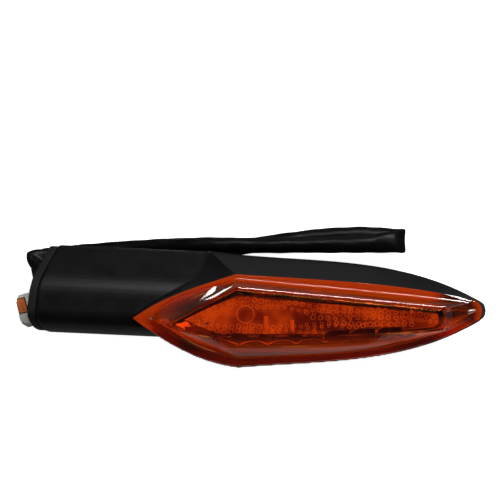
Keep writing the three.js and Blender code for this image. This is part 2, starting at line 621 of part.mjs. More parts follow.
function connectorHousingSolid() {
  const half = CONNECTOR_WIDTH / 2;
  const plan = new THREE.Shape();
  plan.moveTo(0, -half + NOSE_CHAMFER);
  plan.lineTo(NOSE_CHAMFER, -half);
  plan.lineTo(CONNECTOR_LENGTH, -half);
  plan.lineTo(CONNECTOR_LENGTH, half);
  plan.lineTo(NOSE_CHAMFER, half);
  plan.lineTo(0, half - NOSE_CHAMFER);
  plan.closePath();
  const block = new THREE.ExtrudeGeometry(plan, { depth: CONNECTOR_HEIGHT, bevelEnabled: false });
  let shell = toSolid(block);
  const rear = CONNECTOR_LENGTH - SEAL_SEAT_X + 1;
  CAVITIES.forEach(({ y }) => {
    shell = shell.subtract(boxSolid(30, CAVITY_SIZE, CAVITY_SIZE, CONNECTOR_LENGTH / 2, y, CAVITY_Z));
    shell = shell.subtract(boxSolid(rear, SEAL_SEAT, SEAL_SEAT, SEAL_SEAT_X + rear / 2, y, CAVITY_Z));
  });
  const [x, y, z] = RETAINER_AT;
  const slotEnd = x + RETAINER_SIZE[0] / 2 + GAP;
  const slotWidth = RETAINER_SIZE[1] + 2 * GAP;
  const slotFloor = z - RETAINER_SIZE[2] / 2 - GAP;
  const slot = boxSolid(slotEnd + 2, slotWidth, 4, (slotEnd - 2) / 2, y, slotFloor + 2);
  return shell.subtract(slot);
}

function retainerSolid() {
  const [x, y, z] = RETAINER_AT;
  const rib = boxSolid(0.6, 2.4, 0.6, x + 0.3, y, z + RETAINER_SIZE[2] / 2);
  return boxSolid(...RETAINER_SIZE, x, y, z).add(rib);
}

// A lever on the connector's top, with its pivot barrel at the nose end, a ramp near its
// middle and a thumb pad at the free end.
function latchSolid() {
  const [x, y, z] = LATCH_PIVOT;
  const barrel = new THREE.CylinderGeometry(0.55, 0.55, LATCH_WIDTH, 12).translate(x, y, z);
  const arm = boxSolid(LATCH_LENGTH, LATCH_WIDTH, LATCH_THICK, x + LATCH_LENGTH / 2, y, z);
  const ramp = boxSolid(1.2, LATCH_WIDTH - 1, 0.6, x + LATCH_LENGTH * 0.45, y, z + 0.6);
  const pad = boxSolid(1.2, LATCH_WIDTH + 0.8, LATCH_THICK, x + LATCH_LENGTH - 0.6, y, z);
  return toSolid(barrel).add(arm).add(ramp).add(pad);
}

function terminalSolid(y) {
  const box = boxSolid(6, 1.7, 1.7, 4.8, y, CAVITY_Z);
  const mouth = boxSolid(4, 1, 1, 2.6, y, CAVITY_Z);
  const crimpStart = new THREE.Vector3(7.6, y, CAVITY_Z);
  const crimp = rodGeometry(crimpStart, ALONG, 2.6, 0.75, 0.75, 10);
  return box.subtract(mouth).add(toSolid(crimp));
}

function wireSealSolid(y) {
  const at = (x) => new THREE.Vector3(x, y, CAVITY_Z);
  let seal = toSolid(rodGeometry(at(SEAL_SEAT_X + 0.4), ALONG, 3.9, 1.15, 1.15, 14));
  [0.7, 2, 3.3].forEach((x) => {
    seal = seal.add(toSolid(rodGeometry(at(SEAL_SEAT_X + 0.1 + x), ALONG, 0.6, 1.35, 1.35, 14)));
  });
  const boreRadius = WIRE_RADIUS + GAP;
  return seal.subtract(toSolid(rodGeometry(at(SEAL_SEAT_X), ALONG, 6, boreRadius, boreRadius, 10)));
}

function addToConnector(name, solid, look) {
  connector.add(addMesh(name, toGeometry(solid), look));
}

addToConnector('connector_housing', connectorHousingSolid(), NYLON);
addToConnector('terminal_retainer', retainerSolid(), ORANGE_PBT);
addToConnector('connector_latch', latchSolid(), NYLON);
CAVITIES.forEach(({ name, y }) => {
  addToConnector(`terminal_${name}`, terminalSolid(y), BRASS);
  addToConnector(`wire_seal_${name}`, wireSealSolid(y), SEAL_BLUE);
});

// ---------------------------------------------------------------- lead
const leadStart = basePoint(LEAD_EXIT, GAP + GASKET_THICK + GROMMET_NOSE + 0.15);
const leadStraight = leadStart.clone().addScaledVector(BASE_NORMAL, 1.1);
const sleeveRoute = [leadStart.toArray(), leadStraight.toArray(), ...SLEEVE_ROUTE];
addMesh('lead_sleeve', tube(sleeveRoute, SLEEVE_RADIUS, SLEEVE_STEPS, 10), SLEEVE_PVC);

const sleeveEnd = new THREE.Vector3(...SLEEVE_ROUTE.at(-1));
const sleeveDir = sleeveEnd.clone().sub(new THREE.Vector3(...SLEEVE_ROUTE.at(-2))).normalize();
const sleeveSide = new THREE.Vector3(-sleeveDir.y, sleeveDir.x, 0).normalize();
const WIRE_LOOKS = { live: WIRE_GREEN, ground: WIRE_BLACK };

// Each wire leaves the sleeve's end and goes into its seal in the connector.
CAVITIES.forEach(({ name, y }) => {
  const aside = -Math.sign(y) * (WIRE_RADIUS + 0.25);
  const start = sleeveEnd.clone().addScaledVector(sleeveDir, GAP).addScaledVector(sleeveSide, aside);
  const near = start.clone().addScaledVector(sleeveDir, 1.2);
  const mouth = fromConnector(CONNECTOR_LENGTH + 1, y, CAVITY_Z);
  const end = fromConnector(SEAL_SEAT_X + 2, y, CAVITY_Z);
  const route = [start, near, mouth, end].map((p) => p.toArray());
  addMesh(`wire_${name}`, tube(route, WIRE_RADIUS, 10), WIRE_LOOKS[name]);
});

// Inside the stem the same two wires run from the grommet's bore to pads on the board.
CAVITIES.forEach(({ name, y }, i) => {
  const side = Math.sign(y) * (WIRE_RADIUS + 0.2);
  const across = new THREE.Vector3(0, side, 0);
  const bore = (depth) => basePoint(LEAD_EXIT, depth).add(across).toArray();
  const [padX, padY] = WIRE_PADS[i];
  const route = [
    bore(GASKET_THICK + GROMMET_NOSE - 0.4), bore(-1), bore(-PLATE_THICK - 2.5),
    ...STEM_WIRE_ROUTE.map(([x, midY, z]) => [x, midY + side, z]),
    [padX - 3, padY, BOARD_FACE_Z + 2], [padX, padY, BOARD_FACE_Z + 1],
  ];
  addMesh(`inner_wire_${name}`, tube(route, WIRE_RADIUS, 26), WIRE_LOOKS[name]);
});

export default group;
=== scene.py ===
"""Motorcycle turn signal: the looks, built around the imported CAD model.

Dimensions below are millimetres in the CAD frame, where X runs from the base to the tip
and the lens faces +Z. Meshes are made in millimetres and scaled to metres at the end.
"""
import math

import bmesh
import bpy
import numpy as np
from mathutils import Matrix, Vector


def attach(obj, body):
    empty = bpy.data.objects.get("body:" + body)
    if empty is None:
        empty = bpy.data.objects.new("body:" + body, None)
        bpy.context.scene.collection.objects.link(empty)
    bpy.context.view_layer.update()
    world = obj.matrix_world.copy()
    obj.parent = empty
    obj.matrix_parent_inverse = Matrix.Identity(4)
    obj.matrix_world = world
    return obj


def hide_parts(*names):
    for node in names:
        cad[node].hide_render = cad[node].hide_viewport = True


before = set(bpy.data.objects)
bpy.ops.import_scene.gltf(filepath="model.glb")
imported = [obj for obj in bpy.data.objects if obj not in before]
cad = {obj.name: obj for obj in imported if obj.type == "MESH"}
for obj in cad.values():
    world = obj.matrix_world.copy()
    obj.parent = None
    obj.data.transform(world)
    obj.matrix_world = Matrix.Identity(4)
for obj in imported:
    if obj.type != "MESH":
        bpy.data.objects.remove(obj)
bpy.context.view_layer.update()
scene = bpy.context.scene
MM = 0.001


def add_object(name, data):
    obj = bpy.data.objects.new(name, data)
    scene.collection.objects.link(obj)
    return obj


# ---- camera
CAMERA_ELEVATION = 78
CAMERA_TARGET = (-1.26, 15.46, 18)
CAMERA_DISTANCE = 586.6
CAMERA_LENS = 150

tilt = math.radians(CAMERA_ELEVATION)
camera_data = bpy.data.cameras.new("camera")
camera_data.lens = CAMERA_LENS
camera_data.sensor_width = 36
camera = add_object("camera", camera_data)
away = Vector((0, -math.cos(tilt), math.sin(tilt))) * CAMERA_DISTANCE
camera.location = (Vector(CAMERA_TARGET) + away) * MM
camera.rotation_euler = (math.radians(90 - CAMERA_ELEVATION), 0, 0)
scene.camera = camera

# ---- driving dimensions
GAP = 0.3

# Each leaf outline is five corners and how far the edge after each one bows outwards at its
# two thirds. The head's rim shows as a thin strip beside the lens on its upper left.
RIM = ([(-33.7, -4.9), (-5.2, 7.5), (61.5, 0), (62.3, -5.3), (-4.5, -18.4)],
       [(3.7, 1), (0.8, 2.9), (1.6, 1.6), (8.3, 2.5), (3.7, 2.2)])
LENS = (RIM[0], [(2.4, 0.9)] + RIM[1][1:])
CREASE = ([(-28.8, -5), (-5.2, 6.1), (59.3, -0.7), (60.2, -5), (-4.6, -16.4)],
          [(5, 0.7), (0, 0.6), (0.8, 0.8), (7.6, 2.7), (2, 1.5)])
STEP = ([(-26.4, -6.9), (-5, 4), (53.4, -2.6), (53.2, -9.3), (-6.6, -14.3)],
        [(0.9, 0.1), (0, 0.8), (0.9, 0.9), (4, 1.4), (1.6, 1.2)])
FRONT = ([(-24.2, -8.2), (-4.8, 2.3), (52, -3.2), (51.2, -9.6), (-11.6, -11.7)],
         [(0.3, 0.3), (0, 0.1), (0.9, 0.9), (1.6, -0.2), (0.6, 0.8)])
RIDGE = ([(-24, 4), (-13.2, 16.3), (64.6, 0.9), (64.6, -3.2), (-7, -13.4)],
         [(0.4, 0.4), (1.1, 10.4), (0.8, 0.8), (6.2, 1.4), (1.6, 1.6)])
SHOULDER = ([(-17, 1), (-9, 11.6), (52, 0.6), (52.4, -3.4), (-7, -9.2)],
            [(1, 1), (1.4, 4.6), (1, 1), (3.4, 1.4), (1, 1)])
LAND = ([(-11, 0.6), (-6, 6.4), (38, 1.4), (38.4, -2.6), (-5, -5.8)],
        [(0.8, 0.8), (0.6, 1.8), (0.8, 0.8), (1.6, 0.8), (0.8, 0.8)])
TRAY_FLOOR = ([(-11, -3), (-5, 2.5), (44, -1.5), (44, -6.5), (-5, -9.6)],
              [(0.6, 0.6), (0, 1.6), (0.8, 0.8), (2.4, 1), (0.8, 0.8)])
TRAY_FLOOR_Z, TRAY_TOP_Z, TRAY_WALL = 14.4, 21.4, 1
TRAY_TOP = ([(-24.5, -6.4), (-5.3, 2.2), (50, -3.2), (50.6, -7), (-4.8, -14.4)],
            [(2, 0.6), (-0.2, 2.2), (0.8, 0.8), (6.8, 1.8), (3, 1.8)])
POINTS_PER_EDGE = (28, 70, 14, 70, 28)

LENS_BACK_Z, LENS_RIM_Z, STEP_Z, FRONT_Z = 22, 23.2, 28.3, 31
OPTIC_Z, OPTIC_THICK = 25.4, 1.8
OPTIC_TOP = OPTIC_Z + OPTIC_THICK
LENS_WALL = 1.8
SEAT_LEDGE = 2.6
HEAD_RIM_Z = LENS_BACK_Z - GAP
HEAD_LIP = 0.35
RIDGE_Z, SHOULDER_Z = 14, 5.5
HEAD_WALL = 2.2

STEM_SECTION = [
    (18.2, 14.2, 1.6), (6.0, 20.9, 4.0), (-4.6, 20.9, 2.4), (-7.9, 16.4, 2.4),
    (-6.6, 10.6, 2.6), (-2.4, 8.2, 2.6), (10.8, 8.2, 3), (17.2, 11.2, 1.8)]
STEM_TURN = math.radians(-2.6)
STEM_PIVOT_X, STEM_END_X, STEM_WALL = -55, -13.5, 2.2

BASE_POINT = Vector((-61, -1, 20.9))
BASE_SLOPE_Z, BASE_SLOPE_Y = 0.587, 0.09
BASE_NORMAL = Vector((-1, BASE_SLOPE_Y, -BASE_SLOPE_Z)).normalized()
GASKET_THICK, PLATE_THICK = 1.9, 2.4
LEAD_EXIT, PIP_AT, PIP_LENGTH = (8.4, 13), (-0.6, 18.1), 2.9
GROMMET_RADIUS, GROMMET_NOSE, GROMMET_BORE = 2.5, 2.6, 1.8
INSERT_AT, INSERT_RADIUS = (0.6, 12.6), 2.6

SLEEVE_ROUTE = [
    (-61, 9.6, 8.9), (-61.7, 11.2, 7.2), (-62.2, 13.2, 5.6), (-62, 15.1, 4.3),
    (-60.6, 16.5, 3.4), (-57.8, 17.2, 2.8), (-53, 17.8, 2.5), (-46, 18.5, 2.4),
    (-37, 19.1, 2.9), (-26, 19.4, 4.6), (-14, 19.4, 6.4), (0, 19.2, 6.7), (14, 19.3, 6.6),
    (26, 19.5, 6.6), (34, 19.8, 6.6), (40, 20.3, 6.4), (42.5, 21, 4.6), (40, 21.9, 2.6),
    (34, 22.9, 2.25), (24, 23, 2.25), (12, 22, 2.25), (0, 20.2, 2.25), (-10, 18.6, 2.25),
    (-20, 16, 2.25), (-30, 12.4, 2.6), (-38, 9.3, 3), (-44, 7, 3.2), (-48.6, 5.5, 3.2)]


# ---- mesh helpers
def full_turn(steps):
    """Angles evenly spaced round a circle."""
    return np.linspace(0, 2 * math.pi, steps, endpoint=False)


def unit(vector):
    return vector / np.linalg.norm(vector)


def new_object(name, verts, faces, smooth=True):
    mesh = bpy.data.meshes.new(name)
    mesh.from_pydata([tuple(v) for v in verts], [], [tuple(f) for f in faces])
    mesh.validate()
    mesh.polygons.foreach_set("use_smooth", [smooth] * len(mesh.polygons))
    return add_object(name, mesh)


def loft(name, rings, caps=True):
    """A closed skin through rings of equal length, given from the bottom up, anticlockwise."""
    rings = np.array(rings, float)
    levels, count = rings.shape[:2]
    low = np.arange(levels - 1)[:, None] * count + np.arange(count)[None, :]
    step = np.roll(np.arange(count), -1) - np.arange(count)
    quads = np.stack([low, low + step, low + step + count, low + count], -1).reshape(-1, 4)
    faces = quads.tolist()
    if caps:
        faces.append(list(range(count))[::-1])
        faces.append([(levels - 1) * count + i for i in range(count)])
    return new_object(name, rings.reshape(-1, 3), faces)


def prism(name, outline, low, high):
    return loft(name, [[(x, y, z) for x, y in outline] for z in (low, high)])


def apply_modifiers(obj):
    bpy.context.view_layer.update()
    graph = bpy.context.evaluated_depsgraph_get()
    mesh = bpy.data.meshes.new_from_object(obj.evaluated_get(graph))
    obj.modifiers.clear()
    obj.data = mesh
    return obj


def boolean(obj, other, operation):
    modifier = obj.modifiers.new("boolean", "BOOLEAN")
    modifier.object = other
    modifier.operation = operation
    modifier.solver = "EXACT"
    apply_modifiers(obj)
    bpy.data.objects.remove(other)
    return obj


def cut(obj, other):
    return boolean(obj, other, "DIFFERENCE")


def soften(obj, voxel, rounds):
    """Remakes the skin on an even grid and relaxes it, which rounds every edge a little."""
    remesh = obj.modifiers.new("remesh", "REMESH")
    remesh.mode = "VOXEL"
    remesh.voxel_size = voxel
    remesh.use_smooth_shade = True
    relax = obj.modifiers.new("relax", "SMOOTH")
    relax.factor = 0.5
    relax.iterations = rounds
    return apply_modifiers(obj)


def bevel(obj, width, segments=2, angle=30):
    modifier = obj.modifiers.new("bevel", "BEVEL")
    modifier.width = width
    modifier.segments = segments
    modifier.limit_method = "ANGLE"
    modifier.angle_limit = math.radians(angle)
    modifier.harden_normals = True
    return obj


def box(name, size, centre):
    half = [s / 2 for s in size]
    corners = [(x * half[0], y * half[1], z * half[2])
               for z in (-1, 1) for x, y in ((-1, -1), (1, -1), (1, 1), (-1, 1))]
    faces = [(3, 2, 1, 0), (4, 5, 6, 7), (0, 1, 5, 4), (1, 2, 6, 5), (2, 3, 7, 6), (3, 0, 4, 7)]
    obj = new_object(name, corners, faces, smooth=False)
    obj.data.transform(Matrix.Translation(centre))
    return obj


def bevelled_box(name, size, centre, width):
    return apply_modifiers(bevel(box(name, size, centre), width))


def join(name, parts):
    """One object from several, each made in millimetres."""
    mesh = bmesh.new()
    for part in parts:
        mesh.from_mesh(part.data)
        bpy.data.objects.remove(part)
    data = bpy.data.meshes.new(name)
    mesh.to_mesh(data)
    mesh.free()
    return add_object(name, data)


def dress(obj, material):
    obj.data.materials.clear()
    obj.data.materials.append(material)


def place(obj, material, node_names):
    """Scales a finished piece of the lamp to metres and puts it in the frame."""
    obj.data.transform(Matrix.Scale(MM, 4))
    dress(obj, material)
    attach(obj, "lamp")
    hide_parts(*node_names)
    return obj


# ---- leaf outlines
def edge_handles(a, b, bows):
    """The Bezier handles of one edge of an outline: at its thirds, pushed outwards."""
    along = b - a
    out = unit(np.array([-along[1], along[0]]))
    return a + along / 3 + out * bows[0], a + along * 2 / 3 + out * bows[1]


def edge_curve(a, b, bows, count):
    a, b = np.array(a, float), np.array(b, float)
    c1, c2 = edge_handles(a, b, bows)
    t = np.linspace(0, 1, count, endpoint=False)[:, None]
    return ((1 - t) ** 3 * a + 3 * (1 - t) ** 2 * t * c1 + 3 * (1 - t) * t ** 2 * c2 + t ** 3 * b)


def leaf_points(leaf, counts=POINTS_PER_EDGE):
    corners, bows = leaf
    edges = [edge_curve(corners[i], corners[(i + 1) % 5], bows[i], counts[i]) for i in range(5)]
    return np.concatenate(edges)[::-1]


def inset_leaf(leaf, distance):
    """Moves each corner inwards so that the edges next to it move by the distance given."""
    corners, bows = leaf
    spots = np.array(corners, float)
    moved = []
    for i, corner in enumerate(spots):
        arriving = unit(corner - edge_handles(spots[i - 1], corner, bows[i - 1])[1])
        leaving = unit(edge_handles(corner, spots[(i + 1) % 5], bows[i])[0] - corner)
        normal_out = np.array([leaving[1], -leaving[0]])
        middle = unit(normal_out + (arriving[1], -arriving[0]))
        moved.append(tuple(corner + middle * distance / max(0.45, middle @ normal_out)))
    return moved, bows


def mix_leaf(a, b, t):
    """The outline part of the way from one leaf to another."""
    return tuple(np.array(p) * (1 - t) + np.array(q) * t for p, q in zip(a, b))


def leaf_ring(leaf, z):
    points = leaf_points(leaf)
    return np.column_stack([points, np.full(len(points), z)])


def leaf_stack(name, levels):
    return loft(name, [leaf_ring(leaf, z) for leaf, z in levels])


def corner_curve(start, here, end, steps):
    """Points from the start round a corner to the end."""
    return [(1 - t) ** 2 * start + 2 * t * (1 - t) * here + t ** 2 * end
            for t in np.linspace(0, 1, steps)]


def rounded_rings(rings, reach, steps=4):
    """Rounds each inner ring of a stack, from a distance before it to the same after it."""
    out = [rings[0]]
    for before, here, after in zip(rings, rings[1:], rings[2:]):
        length_in = np.linalg.norm(here - before, axis=1, keepdims=True)
        length_out = np.linalg.norm(after - here, axis=1, keepdims=True)
        start = here + (before - here) * np.minimum(0.45, reach / length_in)
        end = here + (after - here) * np.minimum(0.45, reach / length_out)
        out += corner_curve(start, here, end, steps)
    out.append(rings[-1])
    return out


def crown_rings(ring, rise, spine_y, steps=5, reach=0.9):
    """Rings that close in on a line along X while they rise, for a slightly domed face."""
    lowest, highest = ring[:, 0].min(), ring[:, 0].max()
    margin = 0.16 * (highest - lowest)
    spine = np.column_stack([
        np.clip(ring[:, 0], lowest + margin, highest - margin),
        np.interp(ring[:, 0], *spine_y),
        ring[:, 2]])
    out = []
    for t in np.linspace(0, reach, steps + 1)[1:]:
        inner = ring * (1 - t) + spine * t
        inner[:, 2] = ring[:, 2] + rise * (1 - (1 - t) ** 2)
        out.append(inner)
    return out


# ---- curves and tubes
def route_curve(points, per_span=12):
    """A centripetal Catmull-Rom curve through the points."""
    points = np.array(points, float)
    padded = np.vstack([2 * points[0] - points[1], points, 2 * points[-1] - points[-2]])
    out = []
    for i in range(len(points) - 1):
        p0, p1, p2, p3 = padded[i:i + 4]
        d0, d1, d2 = (max(np.linalg.norm(q - p) ** 0.5, 1e-4)
                      for p, q in ((p0, p1), (p1, p2), (p2, p3)))
        t1 = ((p1 - p0) / d0 - (p2 - p0) / (d0 + d1) + (p2 - p1) / d1) * d1
        t2 = ((p2 - p1) / d1 - (p3 - p1) / (d1 + d2) + (p3 - p2) / d2) * d1
        for t in np.linspace(0, 1, per_span, endpoint=False):
            out.append(p1 * (2 * t ** 3 - 3 * t ** 2 + 1) + t1 * (t ** 3 - 2 * t ** 2 + t)
                       + p2 * (3 * t ** 2 - 2 * t ** 3) + t2 * (t ** 3 - t ** 2))
    out.append(points[-1])
    return np.array(out)


def arc_lengths(line):
    return np.concatenate([[0], np.cumsum(np.linalg.norm(np.diff(line, axis=0), axis=1))])


def tangents(line):
    along = np.gradient(line, axis=0)
    return along / np.linalg.norm(along, axis=1, keepdims=True)


def tube(name, line, radius, sides=16):
    """A round tube along a line, with a side vector carried along it without twist."""
    along = tangents(line)
    side = np.cross(along[0], (0, 0, 1))
    rings = []
    angles = full_turn(sides)
    for point, direction in zip(line, along):
        side = unit(side - direction * (side @ direction))
        other = np.cross(direction, side)
        rings.append([point + radius * (math.cos(a) * side + math.sin(a) * other) for a in angles])
    return loft(name, rings)


# ---- base frame
def base_point(spot, outwards=0.0):
    y, z = spot
    run = BASE_SLOPE_Z * (BASE_POINT.z - z) + BASE_SLOPE_Y * (y - BASE_POINT.y)
    return Vector((BASE_POINT.x + run, y, z)) + BASE_NORMAL * outwards


def rod(name, start, direction, profile, sides=32):
    """A turned piece: profile rows are (distance along, radius)."""
    direction = Vector(direction).normalized()
    side = direction.orthogonal().normalized()
    other = direction.cross(side)
    rings = []
    for distance, radius in profile:
        centre = Vector(start) + direction * distance
        rings.append([
            tuple(centre + (side * math.cos(a) + other * math.sin(a)) * radius)
            for a in full_turn(sides)])
    return loft(name, rings)


# ---- material helpers
class Nodes:
    """A material's node tree, with short calls to add and wire nodes."""

    def __init__(self, name):
        self.material = bpy.data.materials.new(name)
        self.material.use_nodes = True
        self.tree = self.material.node_tree
        self.shader = self.tree.nodes["Principled BSDF"]
        self.output = self.tree.nodes["Material Output"]
        self.where = self.add("TexCoord").outputs["Object"]

    def add(self, kind, inputs=None, **settings):
        node = self.tree.nodes.new("ShaderNode" + kind)
        for key, value in settings.items():
            setattr(node, key, value)
        self.fill(node, inputs or {})
        return node

    def fill(self, node, inputs):
        for key, value in inputs.items():
            if isinstance(value, bpy.types.NodeSocket):
                self.tree.links.new(value, node.inputs[key])
            else:
                node.inputs[key].default_value = value

    def set(self, **inputs):
        """Gives the shader's inputs, named with _ for each space, a value or a socket."""
        self.fill(self.shader, {key.replace("_", " "): value for key, value in inputs.items()})

    def noise(self, size, detail=3, stretch=None):
        """Noise whose features are about this many millimetres across."""
        source = self.where
        if stretch:
            mapping = self.add("Mapping", {"Vector": source, "Scale": stretch})
            source = mapping.outputs["Vector"]
        inputs = {"Vector": source, "Scale": 1 / (size * MM), "Detail": detail}
        return self.add("TexNoise", inputs).outputs["Fac"]

    def blend(self, share, first, second):
        """Mixes two colours by a socket or a number."""
        inputs = {0: share, 6: first, 7: second}
        return self.add("Mix", inputs, data_type="RGBA").outputs[2]

    def span(self, value, low, high, from_low=0.3, from_high=0.7):
        return self.add("MapRange", {
            "Value": value, "From Min": from_low, "From Max": from_high,
            "To Min": low, "To Max": high}).outputs["Result"]

    def height(self):
        return self.add("SeparateXYZ", {0: self.where}).outputs["Z"]

    def ramp(self, value, stops):
        node = self.add("ValToRGB", {"Fac": value})
        elements = node.color_ramp.elements
        while len(elements) < len(stops):
            elements.new(0.5)
        for element, (at, colour) in zip(elements, stops):
            element.position = at
            element.color = (*colour, 1)
        return node.outputs["Color"]

    def math(self, operation, a, b=None):
        inputs = {0: a} if b is None else {0: a, 1: b}
        return self.add("Math", inputs, operation=operation).outputs["Value"]

    def bump(self, *layers):
        """Stacks bumps given as (height socket, depth in millimetres)."""
        normal = None
        for height, depth in layers:
            inputs = {"Height": height, "Strength": 1.0, "Distance": depth * MM}
            if normal:
                inputs["Normal"] = normal
            normal = self.add("Bump", inputs).outputs["Normal"]
        self.set(Normal=normal)


def moulded(name, dark, light, roughness, grain=0.18, depth=0.006, blotch=6.0, **more):
    """Moulded plastic or rubber: faint blotches, a fine grain and a varied gloss."""
    nodes = Nodes(name)
    fine = nodes.noise(grain, detail=4)
    broad = nodes.noise(blotch, detail=5)
    gloss = nodes.span(broad, roughness - 0.04, roughness + 0.05)
    gloss = nodes.math("ADD", gloss, nodes.span(fine, -0.03, 0.03))
    nodes.bump((broad, depth * 2), (fine, depth))
    colour = nodes.ramp(broad, [(0.3, dark), (0.7, light)])
    nodes.set(**{"Base_Color": colour, "Roughness": gloss, "IOR": 1.45, **more})
    return nodes.material


def metal(name, dark, light, roughness, brushed=(1, 1, 1)):
    nodes = Nodes(name)
    fine = nodes.noise(0.12, detail=4, stretch=brushed)
    broad = nodes.noise(2.5, detail=4)
    varied = nodes.span(broad, roughness, roughness + 0.1)
    gloss = nodes.math("ADD", nodes.span(fine, -0.06, 0.08), varied)
    nodes.bump((fine, 0.003))
    colour = nodes.ramp(broad, [(0.3, dark), (0.7, light)])
    nodes.set(Base_Color=colour, Roughness=gloss, Metallic=1.0)
    return nodes.material


housing_black = moulded("housing_black", (0.0028, 0.0027, 0.0030), (0.0040, 0.0038, 0.0042), 0.36,
                        Specular_IOR_Level=0.17)
rubber_black = moulded("rubber_black", (0.004, 0.004, 0.005), (0.007, 0.007, 0.008), 0.62,
                       0.25, 0.01, Specular_IOR_Level=0.2)
seal_black = moulded("seal_black", (0.010, 0.010, 0.011), (0.016, 0.016, 0.017), 0.6, 0.2, 0.008)
nylon = moulded("nylon", (0.66, 0.62, 0.56), (0.76, 0.73, 0.68), 0.36, 0.3, 0.008, 4.0,
                IOR=1.53, Subsurface_Weight=0.35, Subsurface_Scale=0.0015)
orange_pbt = moulded("orange_pbt", (0.62, 0.13, 0.015), (0.76, 0.19, 0.03), 0.38, 0.25, 0.006, 3.0)
blue_seal = moulded("blue_seal", (0.030, 0.12, 0.26), (0.045, 0.17, 0.34), 0.5, 0.2, 0.008, 1.5)
ceramic = moulded("ceramic", (0.012, 0.012, 0.013), (0.022, 0.022, 0.024), 0.5, 0.12, 0.006, 1.0)
wire_green = moulded("wire_green", (0.020, 0.10, 0.035), (0.030, 0.15, 0.05), 0.38, 0.3, 0.006, 2.0)
wire_black = moulded("wire_black", (0.010, 0.010, 0.011), (0.018, 0.018, 0.02), 0.38, 0.3, 0.006, 2.0)
steel = metal("steel", (0.42, 0.43, 0.45), (0.58, 0.59, 0.6), 0.24)
brass = metal("brass", (0.58, 0.38, 0.12), (0.74, 0.52, 0.2), 0.26, (1, 8, 8))


def sleeve_vinyl():
    """Soft black vinyl: long faint wrinkles, patches of lower gloss and a low sheen."""
    nodes = Nodes("sleeve_vinyl")
    wrinkle = nodes.noise(2.2, detail=4, stretch=(0.35, 1, 1))
    fine = nodes.noise(0.3, detail=3)
    colour = nodes.ramp(wrinkle, [(0.3, (0.0018, 0.0018, 0.0021)), (0.7, (0.0034, 0.0034, 0.0038))])
    nodes.bump((wrinkle, 0.12), (fine, 0.01))
    nodes.set(Base_Color=colour, Roughness=nodes.span(wrinkle, 0.28, 0.42), IOR=1.48,
              Specular_IOR_Level=0.08)
    return nodes.material


AMBER_DEEP = (0.72, 0.205, 0.022)
AMBER_LIGHT = (0.80, 0.255, 0.032)
AMBER_GLOW = (0.70, 0.088, 0.006)
AMBER_SHADOW = (0.85, 0.48, 0.16)
# Painted shade: a dark tint for the lens's upper front edge and its right tip.
AMBER_PAINTED_SHADE = (0.22, 0.03, 0.008)
RIM_SCATTER = 0.7


def amber_glass():
    """Clear amber polycarbonate. The rim and edges also scatter some light, more on the upper side as a
    painted glow; along the upper front edge and in the right tip the tint is darkened as painted shade.
    """
    nodes = Nodes("amber_clear")
    # Painted glow: this attribute is larger on the lens's upper side, where light falls on the rim.
    rim = nodes.add("Attribute", attribute_name="cloud_and_painted_glow").outputs["Fac"]
    flow = nodes.noise(9, detail=2)
    fine = nodes.noise(1.2, detail=2)
    # Painted shade: where this attribute is set, the tint turns dark.
    thick = nodes.add("Attribute", attribute_name="painted_shade_edge").outputs["Fac"]
    thin = nodes.ramp(flow, [(0.3, AMBER_DEEP), (0.7, AMBER_LIGHT)])
    nodes.bump((flow, 0.02))
    nodes.set(Base_Color=nodes.blend(thick, thin, (*AMBER_PAINTED_SHADE, 1)), IOR=1.52,
              Roughness=nodes.span(fine, 0.015, 0.035), Transmission_Weight=1.0)
    scatter = nodes.add("BsdfTranslucent", {"Color": (*AMBER_GLOW, 1)})
    diffuse = nodes.add("BsdfDiffuse", {"Color": (*AMBER_GLOW, 1)})
    body = nodes.add("MixShader", {0: 0.5, 1: scatter.outputs[0], 2: diffuse.outputs[0]})
    share = nodes.math("MULTIPLY", rim, RIM_SCATTER)
    seen = nodes.add("MixShader", {0: share, 1: nodes.shader.outputs[0], 2: body.outputs[0]})
    let_through = nodes.add("BsdfTransparent", {"Color": (*AMBER_SHADOW, 1)})
    path = nodes.add("LightPath")
    final = nodes.add("MixShader", {
        0: path.outputs["Is Shadow Ray"], 1: seen.outputs[0], 2: let_through.outputs[0]})
    nodes.fill(nodes.output, {"Surface": final.outputs[0]})
    return nodes.material


def optic_plastic():
    """The inner optic: frosted plastic, coloured by height as painted light and shade: dark low down
    and on the plate's sides, bright on the skirt's lip and on top.
    """
    nodes = Nodes("optic_plastic")
    fine = nodes.noise(0.5, detail=3)
    broad = nodes.noise(9, detail=2)
    height = nodes.height()
    lift = nodes.span(height, 0, 1, (OPTIC_TOP - 2.2) * MM, (OPTIC_TOP + 0.5) * MM)
    shade = nodes.math("ADD", lift, nodes.span(broad, -0.03, 0.03))
    # Painted light and shade by height: dark low down, bright bands on the lip and on top.
    colour = nodes.ramp(shade, [(0.0, (0.10, 0.03, 0.012)), (0.11, (0.16, 0.06, 0.03)),
                                (0.15, (0.95, 0.62, 0.32)), (0.205, (0.95, 0.62, 0.32)),
                                (0.225, (0.09, 0.025, 0.01)), (0.72, (0.105, 0.03, 0.01)),
                                (0.80, (0.15, 0.066, 0.022)), (0.86, (0.66, 0.50, 0.25)),
                                (0.95, (0.46, 0.29, 0.11))])
    nodes.bump((fine, 0.004), (broad, 0.03))
    nodes.set(Base_Color=colour, Roughness=nodes.span(fine, 0.12, 0.22), IOR=1.5)
    return nodes.material


